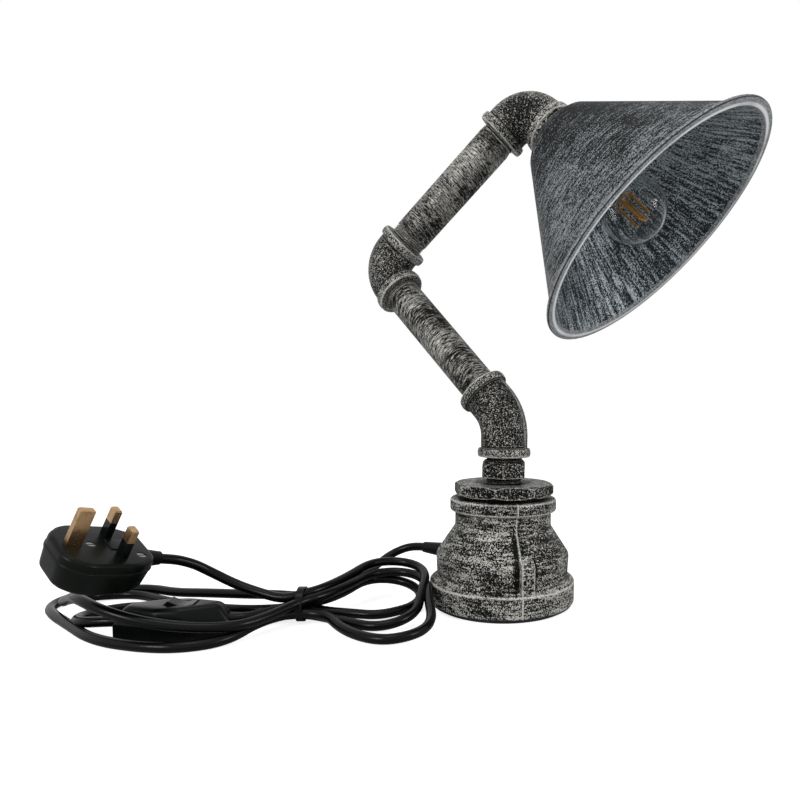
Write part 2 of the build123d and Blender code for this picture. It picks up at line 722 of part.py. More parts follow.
window_length = 2 * math.sqrt(rocker_swing_radius**2 - (switch_roof - pivot_height)**2) + 2 * rocker_clearance
rocker_window = Pos(rocker_offset, 0, switch_top) * Box(
    window_length, rocker_width + 2 * rocker_clearance, 3 * switch_wall
)
switch_cover = Pos(0, 0, switch_base_height + seat) * extrude(
    switch_outline(0.2), switch_cover_height - seat, taper=switch_cover_taper
)
switch_cover = switch_cover - switch_cavity - cord_tunnel - rocker_window - switch_screw_holes
write(switch_frame * switch_cover, "switch_cover")
write(switch_frame * Compound([place * switch_screw for place in switch_screw_places]), "switch_screws")

# the rocker turns on two pins and rests tilted, with its left end up
half_length = rocker_length / 2
rocker_side = FilletPolyline(
    (-half_length, 0, rocker_crest), (0, 0, rocker_dip), (half_length, 0, rocker_crest),
    (rocker_swing_radius, 0, 0), (2.0, 0, -rocker_keel), (-2.0, 0, -rocker_keel), (-rocker_swing_radius, 0, 0),
    radius=[0.5, 12.0, 0.5, 1.5, 0.8, 0.8, 1.5], close=True,
)
rocker = extrude(make_face(rocker_side.edges()), rocker_width / 2, both=True)
rocker = rocker & Rot(90, 0, 0) * Cylinder(rocker_swing_radius, rocker_width + 1)
rocker = rocker + Rot(90, 0, 0) * Cylinder(rocker_pivot_radius, rocker_width + 2 * rocker_pin_reach)
pivot_place = Pos(rocker_offset, 0, pivot_height)
write(switch_frame * pivot_place * Rot(0, rocker_tilt, 0) * rocker, "switch_rocker")

# two bearing blocks hang from the cover's roof, one each side of the rocker
bearing_drop = rocker_pivot_radius + 2.5
bearing_height = switch_roof - seat - pivot_height + bearing_drop
bearing = Pos(0, 0, bearing_height / 2 - bearing_drop) * Box(bearing_length, bearing_width, bearing_height)
bearing = bearing - Rot(90, 0, 0) * Cylinder(rocker_pivot_radius + pivot_running_clearance, 20)
bearing_offset = rocker_width / 2 + rocker_clearance + bearing_width / 2
bearings = [pivot_place * Pos(0, side * bearing_offset, 0) * bearing for side in (1, -1)]
bearing_room = extrude(switch_outline(switch_side_wall + seat), switch_top)
write(switch_frame * Compound([piece & bearing_room for piece in bearings]), "switch_bearings")

contact_blade = Box(9.0, 3.0, 0.8)
contact_place = Pos(rocker_offset, 0, switch_wall + 0.4 + seat)
switch_contacts = [contact_place * Pos(8.0 * side, 0, 0) * contact_blade for side in (1, -1)]
write(switch_frame * Compound(switch_contacts), "switch_contacts")


# ---------------------------------------------------------------- three-pin plug
def plug_outline(shrink):
    """The plug body's outline seen on its pin face: wide at the line pins, narrow at the cord."""
    points = [
        (plug_front - shrink, plug_front_half_width - shrink / 2),
        (plug_side_front, plug_half_width - shrink),
        (plug_side_back, plug_half_width - shrink),
        (-plug_back + shrink, plug_back_half_width - shrink / 2),
    ]
    points = points + [(x, -y) for x, y in reversed(points)]
    roundings = [4.0, 6.0, 9.0, 4.0, 4.0, 9.0, 6.0, 4.0]
    return make_face(FilletPolyline(*points, radius=roundings, close=True).edges())


plug_frame = Plane(origin=plug_place, x_dir=plug_towards_earth, z_dir=plug_face_normal)
line_pin_place = earth_pin_place - pin_pitch
plug_joint = -plug_base_depth
plug_bottom = plug_joint - plug_cover_depth
plug_cavity_depth = plug_base_depth + plug_cover_depth - plug_wall - plug_face_thickness

earth_slot = Pos(earth_pin_place, 0, 0) * Box(earth_pin_size[0] + 2 * seat, earth_pin_size[1] + 2 * seat, 60)
line_slot = Box(line_pin_size[0] + 2 * seat, line_pin_size[1] + 2 * seat, 60)
line_pin_places = Locations((line_pin_place, pin_pitch / 2), (line_pin_place, -pin_pitch / 2))
plug_cavity = Pos(0, 0, plug_bottom + plug_wall) * extrude(plug_outline(plug_wall), plug_cavity_depth)
plug_cord_tunnel = Pos(-plug_back, 0, -plug_cord_drop) * Rot(0, 90, 0) * Cylinder(
    sleeve_root_radius + seat, 2 * plug_wall + 4
)
plug_screw_places = Locations(plug_centre_screw_place, plug_grip_screw_place)
head_bottom = -plug_screw_sink - plug_screw_head
screw_well = cylinder(plug_screw_radius + seat, head_bottom - seat, 1) + cylinder(
    plug_shank_radius + seat, plug_joint - plug_centre_screw_reach - 1, head_bottom
)

plug_base_body = Pos(0, 0, plug_joint) * extrude(plug_outline(0), plug_base_depth)
plug_base_body = fillet(plug_base_body.edges().group_by(Axis.Z)[-1], plug_shoulder_rounding)
plug_base_body = plug_base_body - plug_cavity - plug_cord_tunnel - earth_slot
plug_base_body = plug_base_body - [place * line_slot for place in line_pin_places]
plug_base_body = plug_base_body - [place * screw_well for place in plug_screw_places]
write(plug_frame * plug_base_body, "plug_base")

plug_cover_body = Pos(0, 0, plug_joint - seat) * extrude(plug_outline(0.3), -(plug_cover_depth - seat), taper=4)
plug_cover_body = fillet(plug_cover_body.edges().group_by(Axis.Z)[0], 2.0)
plug_cover_body = plug_cover_body - plug_cavity - plug_cord_tunnel
pillar_x, pillar_y = plug_centre_screw_place
plug_pillar = cylinder(plug_pillar_radius, plug_bottom + plug_wall, plug_joint - seat)
plug_cover_body = plug_cover_body + Pos(pillar_x, pillar_y, 0) * plug_pillar
plug_cover_body = plug_cover_body - [place * screw_well for place in plug_screw_places]
write(plug_frame * plug_cover_body, "plug_cover")

earth_pin = Pos(earth_pin_place, 0, (earth_pin_size[2] - pin_root) / 2) * Box(
    earth_pin_size[0], earth_pin_size[1], earth_pin_size[2] + pin_root
)
earth_pin = chamfer(earth_pin.edges().group_by(Axis.Z)[-1], 0.9)
write(plug_frame * earth_pin, "plug_earth_pin")

line_pin = Pos(0, 0, (line_pin_size[2] - pin_root) / 2) * Box(
    line_pin_size[0] - 2 * pin_sleeve_wall, line_pin_size[1] - 2 * pin_sleeve_wall, line_pin_size[2] + pin_root
)
line_tip = Pos(0, 0, (line_pin_size[2] + pin_sleeve_length) / 2) * Box(
    line_pin_size[0], line_pin_size[1], line_pin_size[2] - pin_sleeve_length
)
line_tip = chamfer(line_tip.edges().group_by(Axis.Z)[-1], 0.8)
line_pin = line_pin + line_tip
write(plug_frame * Compound([place * line_pin for place in line_pin_places]), "plug_line_pins")

sleeve_root = 1.5
sleeve = Pos(0, 0, (pin_sleeve_length - seat - sleeve_root) / 2) * (
    Box(line_pin_size[0], line_pin_size[1], pin_sleeve_length - seat + sleeve_root)
    - Box(line_pin_size[0] - 2 * pin_sleeve_wall + seat, line_pin_size[1] - 2 * pin_sleeve_wall + seat, 60)
)
write(plug_frame * Compound([place * sleeve for place in line_pin_places]), "plug_pin_sleeves")

# the fuse lies in two clips on the cover's floor, under the roots of the line pins
fuse_x, fuse_y = fuse_centre
clip_half = fuse_radius + fuse_clip_wall
fuse_place = Pos(fuse_x, fuse_y, plug_bottom + plug_wall + seat + clip_half)
write(plug_frame * fuse_place * Rot(0, 90, 0) * Cylinder(fuse_radius, fuse_length), "plug_fuse")
fuse_clip = (
    Box(fuse_clip_length, 2 * clip_half, 2 * clip_half)
    - Rot(0, 90, 0) * Cylinder(fuse_radius + seat, 2 * fuse_clip_length)
    - Pos(0, 0, fuse_radius) * Box(2 * fuse_clip_length, fuse_radius, 2 * fuse_radius)
)
clip_offset = fuse_length / 2 - fuse_clip_length / 2
fuse_clips = [fuse_place * Pos(side * clip_offset, 0, 0) * fuse_clip for side in (1, -1)]
write(plug_frame * Compound(fuse_clips), "plug_fuse_clips")

driver_slot = Pos(0, 0, -plug_screw_sink) * Box(2 * plug_screw_radius + 1, 0.8, 1.4)


def plug_screw(place, reach):
    """A slotted screw in the plug's face that reaches this far below the joint of its two halves."""
    head = cylinder(plug_screw_radius, head_bottom, -plug_screw_sink) - driver_slot
    shank = cylinder(plug_shank_radius, plug_joint - reach, head_bottom)
    return Pos(place[0], place[1], 0) * (head + shank)


plug_screws = [
    plug_screw(plug_centre_screw_place, plug_centre_screw_reach),
    plug_screw(plug_grip_screw_place, plug_grip_screw_reach),
]
write(plug_frame * Compound(plug_screws), "plug_screws")

# a bar that the second screw draws against the cord
grip_x, grip_y = plug_grip_screw_place
cord_grip = Pos(grip_x, grip_offset, -plug_cord_drop + cord_radius + seat + grip_thickness / 2) * Box(
    grip_length, grip_width, grip_thickness
)
cord_grip = cord_grip - Pos(grip_x, grip_y, 0) * cylinder(plug_shank_radius + seat, -30, 0)
write(plug_frame * cord_grip, "plug_cord_grip")

# a short tapered sleeve where the cord leaves the plug
cord_sleeve = turned([
    (cord_radius + cord_clearance, -sleeve_inside, 0), (sleeve_root_radius, -sleeve_inside, 0.4),
    (sleeve_root_radius, 3.0, 1.5), (sleeve_tip_radius, sleeve_outside, 0.5),
    (cord_radius + cord_clearance, sleeve_outside, 0),
])
sleeve_frame = Plane(origin=(-plug_back, 0, -plug_cord_drop), x_dir=(0, 1, 0), z_dir=(-1, 0, 0))
write(plug_frame * sleeve_frame * cord_sleeve, "plug_cord_sleeve")

# ---------------------------------------------------------------- cord
plug_back_direction = -Vector(*plug_towards_earth).normalized()
plug_exit = plug_frame.from_local_coords(Vector(-plug_back + plug_cord_inside, 0, -plug_cord_drop))
gland_tip = gland_frame.from_local_coords(Vector(0, 0, gland_length - 2.0))

lamp_cord_points = [
    gland_tip, gland_tip + gland_direction * 13, Vector(-77, 44, 25.5), Vector(-90, 33, 20),
    Vector(-102, 16, 16.5), Vector(-113, -3, 14.5), Vector(-123, -22, 13),
]
plug_cord_points = [
    plug_exit, plug_exit + plug_back_direction * 32, Vector(-200, -30, 40), Vector(-183, -24, 33),
    Vector(-163, -27, 24), Vector(-144, -34, 16),
]
near_end = (-54.5, -17, 13)
far_end = (-318.5, -0.5, 7)
near_back_points = [
    (-130, -36, 12), (-118, -24, 13), (-102, -8, 15), (-82, 12, 17), (-66, 12, 17), (-56, -6, 15), near_end,
]
near_front_points = [
    near_end, (-53, -28, 11), (-54, -54, 9), (-64, -71, 8), (-80, -73, 8), (-98, -59, 8), (-116, -46, 9),
    (-130, -40, 10),
]
far_back_points = [
    (-138, -34, 11), (-160, -23, 10), (-190, -11, 9), (-224, 3, 8), (-258, 13, 7), (-294, 18, 7), (-316.5, 9, 7),
    far_end,
]
far_front_points = [
    far_end, (-318, -10, 7), (-301, -30, 9), (-273, -49, 14), (-243, -70, 17), (-214, -84, 13), (-186, -87, 8),
    (-164, -74, 8), (-148, -55, 9), (-138, -42, 10),
]


def corner_radii(points):
    """The largest even arc that each corner's two runs allow."""
    radii = []
    for before, corner, after in zip(points, points[1:], points[2:]):
        into, out = corner - before, after - corner
        turn = math.radians(into.get_angle(out))
        radii.append(0.45 * min(into.length, out.length) / math.tan(turn / 2))
    return radii


def cord_tube(points, radius, name):
    """A round bar along runs joined by tangent arcs; prints its arcs and its length by volume."""
    points = [Vector(*point) for point in points]
    radii = corner_radii(points)
    path = FilletPolyline(*points, radius=radii)
    body = rod_along(path, radius)
    length = body.volume / (math.pi * radius**2)
    print(name, "radii", [round(r, 1) for r in radii], "length", round(path.length, 1), round(length, 1))
    return body


write(cord_tube(lamp_cord_points, cord_radius, "cord from lamp"), "cord_from_lamp")
write(cord_tube(plug_cord_points, cord_radius, "cord to plug"), "cord_to_plug")

# the hank's turns as one body: two loops, gathered at the waist and cleared round what they lie against
waist = Pos(*waist_middle) * Rot(0, 90, 0) * Cylinder(waist_radius, waist_length)
hank = cord_tube(near_back_points, hank_loop_radius, "near loop, back").fuse(
    cord_tube(near_front_points, hank_loop_radius, "near loop, front"),
    cord_tube(far_back_points, hank_far_loop_radius, "far loop, back"),
    cord_tube(far_front_points, hank_far_loop_radius, "far loop, front"),
    waist,
)
tie_slab = Pos(*waist_middle) * Box(tie_width + 2 * cord_clearance, 60, 60)
tie_way = tie_slab - waist
hank = hank - tie_way - cylinder(socket_band_radius + base_clearance, -5, 60)
hank = hank - switch_frame * extrude(switch_outline(-switch_clearance), 60)
hank = hank - Pos(-180, 0, -10) * Box(400, 400, 20)
write(hank, "cord_hank")

tie_ring = Cylinder(waist_radius + seat + tie_thickness, tie_width) - Cylinder(waist_radius + seat, tie_width)
write(Pos(*waist_middle) * Rot(0, 90, 0) * tie_ring, "cord_tie")
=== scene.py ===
# %% [markdown]
# # An industrial pipe table lamp
# The lamp is screwed together from 3/4 inch malleable iron fittings. A reducing socket is the foot,
# two lengths of pipe and three elbows are the arm, and a spun cone shade hangs from the last elbow.
# All the hard solids come from the imported part. This script gives them their finishes, and models
# what a solid modeller does badly: cut threads, the soft cord, and mouldings with rounded edges.

# %% Load the part
import math

import bmesh
import bpy
from mathutils import Matrix, Quaternion, Vector


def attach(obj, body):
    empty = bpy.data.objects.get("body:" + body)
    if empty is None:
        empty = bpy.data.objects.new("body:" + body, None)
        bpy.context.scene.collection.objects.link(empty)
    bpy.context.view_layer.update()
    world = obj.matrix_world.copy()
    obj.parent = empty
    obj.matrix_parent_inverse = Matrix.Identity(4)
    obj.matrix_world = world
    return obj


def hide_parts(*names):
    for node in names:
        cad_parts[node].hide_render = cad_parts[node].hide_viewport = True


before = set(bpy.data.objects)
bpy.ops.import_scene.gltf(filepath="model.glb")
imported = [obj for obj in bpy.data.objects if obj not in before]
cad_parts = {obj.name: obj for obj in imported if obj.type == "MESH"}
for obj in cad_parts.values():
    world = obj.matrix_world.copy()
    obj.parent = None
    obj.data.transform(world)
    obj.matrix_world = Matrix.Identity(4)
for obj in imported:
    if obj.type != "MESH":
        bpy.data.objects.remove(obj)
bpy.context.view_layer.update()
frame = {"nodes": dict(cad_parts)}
nodes = frame["nodes"]
scene = bpy.context.scene
MM = 0.001
UP = Vector((0, 0, 1))

# %% [markdown]
# The camera stands low in front of the lamp, a little to the left of its base, with a wide lens.
# A Track To constraint would aim it, but couldn't roll it. So its direction is given by yaw, pitch
# and roll, and the three axes of the camera follow from them. A lens shift frames the lamp without
# more pitch, which keeps its verticals nearly upright.

# %% Camera
CAMERA_PLACE = Vector((-0.03015, -0.46075, 0.14452))
CAMERA_YAW, CAMERA_PITCH, CAMERA_ROLL = math.radians(4.53), math.radians(-4.79), math.radians(0.90)


def camera_axes(yaw, pitch, roll):
    """The camera's right, up and backward directions."""
    ahead = Vector((math.sin(yaw) * math.cos(pitch), math.cos(yaw) * math.cos(pitch), math.sin(pitch)))
    level_right = ahead.cross(UP).normalized()
    level_up = level_right.cross(ahead)
    right = level_right * math.cos(roll) + level_up * math.sin(roll)
    up = level_up * math.cos(roll) - level_right * math.sin(roll)
    return right, up, -ahead


camera = bpy.data.objects.new("camera", bpy.data.cameras.new("camera"))
scene.collection.objects.link(camera)
axes = camera_axes(CAMERA_YAW, CAMERA_PITCH, CAMERA_ROLL)
camera.matrix_world = Matrix.Translation(CAMERA_PLACE) @ Matrix(axes).transposed().to_4x4()
camera.data.sensor_width = 36.0
camera.data.lens = 28.97
camera.data.shift_x = -0.141
camera.data.shift_y = 0.072
camera.data.clip_start = 0.01
bpy.context.scene.camera = camera
print("camera looks along", -axes[2])

# %% [markdown]
# The cord is one length of round flex. It leaves the gland in the foot, falls onto the table and is
# put up in a hank of three figure-eight turns with a tie round their middle. One strand passes
# through the rocker switch, and the last one climbs over the rest into the plug.
# A mesh tube would need every bend worked out. A NURBS curve bends as smoothly as flex does, and its
# few control points can be moved by hand. Each list below is one strand, in millimetres, between
# two of the places where the tie holds it.

# %% The cord's two ends
CORD_RADIUS = 3.2 * MM
GLAND_ANGLE, GLAND_REACH, GLAND_HEIGHT = math.radians(147.0), 68.0, 32.0
gland_ahead = Vector((math.cos(GLAND_ANGLE), math.sin(GLAND_ANGLE), 0))
gland_tip = gland_ahead * GLAND_REACH + UP * GLAND_HEIGHT
plug_towards_earth = Vector((-0.564, -0.803, 0.195)).normalized()
plug_face_normal = Vector((0.444, -0.095, 0.891)).normalized()
plug_out = (plug_face_normal - plug_towards_earth * plug_face_normal.dot(plug_towards_earth)).normalized()
plug_place = Vector((-235.1, -82.5, 60.9))
PLUG_TAIL, PLUG_DEPTH = 15.5, 9.0
plug_exit = plug_place - plug_towards_earth * PLUG_TAIL - plug_out * PLUG_DEPTH
STRAIGHT_OUT, STRAIGHT_IN = 13, 28
print("cord from", tuple(gland_tip), "to", tuple(plug_exit))

# %% The cord's route, strand by strand
from_lamp = [
    gland_tip, gland_tip + gland_ahead * STRAIGHT_OUT,
    (-83.8, 45.8, 25.7), (-95.7, 36.5, 17.8), (-102.5, 16.7, 16.1), (-113.3, -2.8, 14.6),
    (-120.8, -22.4, 13.5)]
tie_upper_back, tie_lower_back = (-135.6, -32.3, 14.5), (-134.3, -32.5, 8.3)
tie_upper_front, tie_lower_front = (-133.4, -43.7, 14.6), (-136.2, -43.9, 7.8)
tie_top, tie_middle = (-133.4, -37.8, 17.8), (-134.6, -38, 11.4)
tie_bottom = (-133.5, -37.8, 4.9)
outer_far_loop = [
    (-154.8, -29.4, 15.2), (-180, -17, 12), (-206, -7, 10), (-232, 4.2, 7.1), (-254, 16.5, 6.7),
    (-279, 20, 5.1), (-298, 14.8, 3.6), (-307, 0.3, 3.3), (-305, -17.1, 3.3), (-292, -33, 3.3),
    (-272.5, -50.9, 3.3), (-245, -77, 3.3), (-213.4, -89.6, 3.3), (-188, -92, 3.3), (-166.4, -81.8, 3.4),
    (-154.8, -58.3, 7)]
outer_near_loop = [
    (-115.5, -47.9, 6.9), (-104.7, -64.8, 4.5), (-90.4, -77.5, 3.4), (-75.6, -84.5, 3.5), (-61.4, -82.1, 4.7),
    (-51.3, -72.2, 5.7), (-48.1, -56.6, 7.7), (-51.5, -36.9, 12.8), (-53.4, -15.3, 16.9), (-60.1, 2.2, 19.2),
    (-77.1, 10.2, 20.4), (-96.4, 3.5, 20), (-108.5, -20.7, 17.9), (-120.9, -36.8, 16.1)]
middle_far_loop = [
    (-151.9, -67, 10.5), (-165.6, -79.2, 10.5), (-190, -84, 12.3), (-215, -86, 17), (-238, -82, 23),
    (-256, -70, 26), (-270, -52, 21), (-286.3, -33.7, 12.3), (-296.9, -9.1, 6.8), (-284.7, 11, 3.4),
    (-260.7, 13.8, 3.3), (-234.8, -4.8, 3.4), (-205, -18, 3.5), (-175, -30, 5), (-150.2, -34.9, 7)]
middle_near_loop = [
    (-120, -32.9, 4.5), (-102.4, -34.4, 3.4), (-86.6, -38.6, 3.4), (-73.6, -34.8, 4.3), (-61.1, -24.3, 5.3),
    (-57.6, -6, 7.6), (-66.4, 8.6, 11), (-82.7, 13.7, 13.9), (-100, 5.9, 15), (-110.7, -16.6, 12.3),
    (-122.4, -32.1, 11.5)]
through_switch = [
    (-150, -47, 10), (-160, -55, 9.1), (-166, -57.9, 9), (-172, -58.3, 9), (-205, -60, 9),
    (-238, -61.7, 9), (-245, -62.1, 9)]
inner_far_loop = [
    (-258.5, -60.3, 7.9), (-268.9, -50.9, 6.1), (-272, -36.6, 4.3), (-265.5, -22.2, 3.3),
    (-249.7, -14.3, 3.3), (-227.1, -19.2, 3.3), (-200, -34, 3.3), (-172, -40, 3.4), (-150, -40.1, 4)]
inner_near_loop = [
    (-117.8, -41.9, 3.5), (-99, -54.5, 3.4), (-83.2, -62, 3.6), (-68.2, -59, 5.7), (-58, -47.2, 9),
    (-57.2, -29.8, 15.4), (-54.5, -7.9, 21.6), (-61, 10.1, 24.3), (-77.5, 18.3, 26.1), (-96.8, 12.3, 26.1),
    (-109.4, -10.5, 21.7), (-121.9, -30, 19.3)]
to_plug = [
    (-145.9, -38.4, 14.8), (-161.1, -34.7, 17.7), (-178, -32, 23), (-193, -32, 31), (-203, -38, 39),
    plug_exit - plug_towards_earth * STRAIGHT_IN, plug_exit]
route = (
    from_lamp + [tie_upper_back] + outer_far_loop + [tie_lower_front] + outer_near_loop + [tie_upper_front]
    + middle_far_loop + [tie_lower_back] + middle_near_loop + [tie_middle] + through_switch + inner_far_loop
    + [tie_bottom] + inner_near_loop + [tie_top] + to_plug)
route = [Vector(place) * MM for place in route]
print("cord control points", len(route))


# %% The cord itself
def smooth_line(name, points, radius):
    """A round bar along one smooth open NURBS spline."""
    data = bpy.data.curves.new(name, "CURVE")
    data.dimensions = "3D"
    data.bevel_depth = radius
    data.bevel_resolution = 5
    data.resolution_u = 10
    data.use_fill_caps = True
    spline = data.splines.new("NURBS")
    spline.points.add(len(points) - 1)
    for point, place in zip(spline.points, points):
        point.co = (*place, 1.0)
    spline.order_u = 3
    spline.use_endpoint_u = True
    made = bpy.data.objects.new(name, data)
    scene.collection.objects.link(made)
    return made


def line_points(curve):
    """Places along a curve's centre line, as Blender works them out."""
    radius = curve.data.bevel_depth
    curve.data.bevel_depth = 0.0
    bpy.context.view_layer.update()
    mesh = bpy.data.meshes.new_from_object(curve.evaluated_get(bpy.context.evaluated_depsgraph_get()))
    curve.data.bevel_depth = radius
    places = [vertex.co.copy() for vertex in mesh.vertices]
    bpy.data.meshes.remove(mesh)
    return places


cord = smooth_line("cord", route, CORD_RADIUS)
cord_line = line_points(cord)

# %% [markdown]
# Nodes can be laid out by hand in the shader editor, but a finish that is mostly arithmetic reads
# better as arithmetic. The class below wraps one output socket, so that `1 - mask` or
# `speck * 0.6 + streak` adds the Math nodes by itself. Any other node comes from `Nodes.node`, which
# takes the node's kind, its settings and its sockets.


# %% Arithmetic on sockets
class Flow:
    """What comes out of a node's socket. Arithmetic on it adds Math nodes."""

    def __init__(self, nodes, socket):
        self.nodes, self.socket = nodes, socket

    def calculate(self, operation, first, second):
        return self.nodes.node("Math", {"operation": operation}, {0: first, 1: second})

    def __add__(self, other):
        return self.calculate("ADD", self, other)

    def __sub__(self, other):
        return self.calculate("SUBTRACT", self, other)

    def __mul__(self, other):
        return self.calculate("MULTIPLY", self, other)

    def __pow__(self, other):
        return self.calculate("POWER", self, other)

    def __rsub__(self, other):
        return self.calculate("SUBTRACT", other, self)

    __radd__ = __add__
    __rmul__ = __mul__

    def most(self, other):
        return self.calculate("MAXIMUM", self, other)

    def least(self, other):
        return self.calculate("MINIMUM", self, other)

    def above(self, low, high):
        """0 below low, 1 above high, and smooth between."""
        return self.nodes.node("MapRange", {"interpolation_type": "SMOOTHSTEP"},
                               {"Value": self, "From Min": low, "From Max": high})

    def between(self, start, full, fading, end):
        """1 from full to fading, 0 before start and after end, and smooth between."""
        return self.above(start, full) * (1 - self.above(fading, end))


class Nodes:
    """The nodes of a material or of the world, while they are being made."""

    def __init__(self, owner):
        self.owner = owner
        owner.use_nodes = True
        self.tree = owner.node_tree
        self.tree.nodes.clear()

    def node(self, kind, settings, sockets, output=0):
        """Adds a node: its settings first, then the values or links of its sockets."""
        made = self.tree.nodes.new("ShaderNode" + kind)
        for name, value in settings.items():
            setattr(made, name, value)
        for name, value in sockets.items():
            if isinstance(value, Flow):
                self.tree.links.new(value.socket, made.inputs[name])
            else:
                made.inputs[name].default_value = value
        return Flow(self, made.outputs[output])

    def ray(self, kind):
        """1 for the rays of one kind, and 0 for all others."""
        return self.node("LightPath", {}, {}, kind)

    def end(self, kind, shader):
        """Joins a shader to the output node of a Material or of the World."""
        output = self.tree.nodes.new("ShaderNodeOutput" + kind)
        self.tree.links.new(shader.socket, output.inputs["Surface"])
        return self.owner


def colour(red, green, blue):
    """A colour as a node's socket takes it."""
    return (red, green, blue, 1.0)


# %% [markdown]
# Metal shows whatever stands around it, so lamps alone would leave it dark: a white surround is
# part of the light. The surround is weaker in the light it sheds than in what the camera, glossy
# surfaces and glass see of it, so metal shows a white studio and the shapes keep their shading.
# The floor is pale paper that glows a little for the camera only, and still takes a soft shadow.

# %% Surround and floor
scene.view_settings.view_transform = "Standard"
SURROUND_SHED, SURROUND_SEEN = 0.38, 1.0
FLOOR_HALF_SIDE, FLOOR_DROP = 6.0, 0.2 * MM
PAPER_GREY, PAPER_GLOW = 0.8, 0.8

studio = Nodes(bpy.data.worlds.new("studio"))
seen = studio.ray("Is Camera Ray").most(studio.ray("Is Transmission Ray")).most(studio.ray("Is Glossy Ray"))
strength = studio.node("MapRange", {}, {"Value": seen, "To Min": SURROUND_SHED, "To Max": SURROUND_SEEN})
surround = studio.node("Background", {}, {"Color": colour(1, 1, 1), "Strength": strength})
scene.world = studio.end("World", surround)

floor_shape = bmesh.new()
bmesh.ops.create_grid(floor_shape, x_segments=1, y_segments=1, size=FLOOR_HALF_SIDE)
bmesh.ops.translate(floor_shape, verts=floor_shape.verts, vec=(0, FLOOR_HALF_SIDE / 2, -FLOOR_DROP))
floor_mesh = bpy.data.meshes.new("floor")
floor_shape.to_mesh(floor_mesh)
floor_shape.free()
floor = bpy.data.objects.new("floor", floor_mesh)
scene.collection.objects.link(floor)

paper = Nodes(bpy.data.materials.new("white_paper"))
matt = paper.node("BsdfDiffuse", {}, {"Color": colour(PAPER_GREY, PAPER_GREY, PAPER_GREY)})
glow = paper.node("Emission", {}, {
    "Color": colour(1, 1, 1), "Strength": paper.ray("Is Camera Ray") * PAPER_GLOW})
floor_mesh.materials.append(paper.end("Material", paper.node("AddShader", {}, {0: matt, 1: glow})))
print("surround", studio.owner.name, "and floor", floor.name)

# %% [markdown]
# Three large soft lamps model the shapes: one above, one to the left in front, and one to the
# right. A sun lamp would be simpler, but its hard shadows don't suit a product, and area lamps give
# every pipe a broad soft highlight.

# %% Lamps
LAMP_TARGET = (0, 0, 0.2)


def soft_lamp(name, place, size, watts):
    """A square area lamp that faces the middle of the table lamp."""
    data = bpy.data.lights.new(name, "AREA")
    data.size = size
    data.energy = watts
    lamp = bpy.data.objects.new(name, data)
    scene.collection.objects.link(lamp)
    lamp.location = place
    lamp.rotation_euler = (Vector(LAMP_TARGET) - Vector(place)).to_track_quat("-Z", "Y").to_euler()


soft_lamp("lamp_above", (-0.25, -0.35, 1.25), size=0.5, watts=2.5)
soft_lamp("lamp_left", (-1.0, -1.1, 0.7), size=0.45, watts=9.0)
soft_lamp("lamp_right", (1.2, -0.7, 0.6), size=0.45, watts=7.0)

# %% [markdown]
# A brushed or moulded surface could be painted as an image, but an image has one size and needs a
# flat layout of the piece. Patterns in the object's own space need neither, and they turn with the
# arm. `Finish` adds to the nodes above the patterns that all the lamp's finishes share.


# %% Patterns for finishes
class Finish(Nodes):
    """A material made from patterns in the object's own space."""

    def __init__(self, name):
        super().__init__(bpy.data.materials.new(name))
        self.place = self.node("TexCoord", {}, {}, "Object")

    def facing(self):
        """The direction that a face looks in, which turns with the object."""
        return self.node("TexCoord", {}, {}, "Normal")

    def noise(self, place, scale, detail=2.0, roughness=0.5):
        return self.node("TexNoise", {}, {
            "Vector": place, "Scale": scale, "Detail": detail, "Roughness": roughness})

    def mix(self, factor, a, b):
        """A colour between a and b."""
        return self.node("Mix", {"data_type": "RGBA"}, {0: factor, 6: a, 7: b}, 2)

    def along(self, origin, axis, stretch=(1, 1, 1), slant=0.0):
        """Places measured from an origin with Z along an axis, each divided by its stretch."""
        turn = UP.rotation_difference(Vector(axis)) @ Quaternion((1, 0, 0), slant)
        return self.node("Mapping", {"vector_type": "TEXTURE"}, {
            "Vector": self.place, "Location": origin, "Rotation": turn.to_euler(), "Scale": stretch})

    def parts(self, place):
        """The x, y and z of a place."""
        split = self.node("SeparateXYZ", {}, {"Vector": place})
        return [Flow(self, output) for output in split.socket.node.outputs]

    def angle(self, x, y):
        """The angle round the Z axis, in radians."""
        return self.node("Math", {"operation": "ARCTAN2"}, {0: y, 1: x})

    def rings(self, place, circles, width):
        """1 on each circle of (radius, height) round the Z axis of a place, fading over a width."""
        x, y, z = self.parts(place)
        radius = (x * x + y * y) ** 0.5
        nearest = None
        for ring_radius, height in circles:
            across, along = radius - ring_radius, z - height
            near = 1 - ((across * across + along * along) ** 0.5).above(width * 0.35, width)
            nearest = near if nearest is None else nearest.most(near)
        return nearest

    def bump(self, height, strength, distance):
        return self.node("Bump", {}, {"Height": height, "Strength": strength, "Distance": distance})

    def edge(self, radius):
        """Towards 1 on a sharp edge and in a sharp corner, and 0 on the flat."""
        rounded = self.node("Bevel", {"samples": 4}, {"Radius": radius}, 0)
        plain = self.node("NewGeometry", {}, {}, "Normal")
        likeness = self.node("VectorMath", {"operation": "DOT_PRODUCT"}, {0: rounded, 1: plain}, "Value")
        return (1 - likeness).above(0.008, 0.12)

    def crevice(self, distance):
        """Towards 1 where other surfaces stand close around."""
        open_air = self.node(
            "AmbientOcclusion", {"samples": 6, "only_local": False}, {"Distance": distance}, "AO")
        return 1 - open_air

    def surface(self, **sockets):
        """Ends the material in a Principled shader with these sockets."""
        names = {name.replace("_", " ").title().replace("Ior", "IOR"): value
                 for name, value in sockets.items()}
        return self.end("Material", self.node("BsdfPrincipled", {}, names))
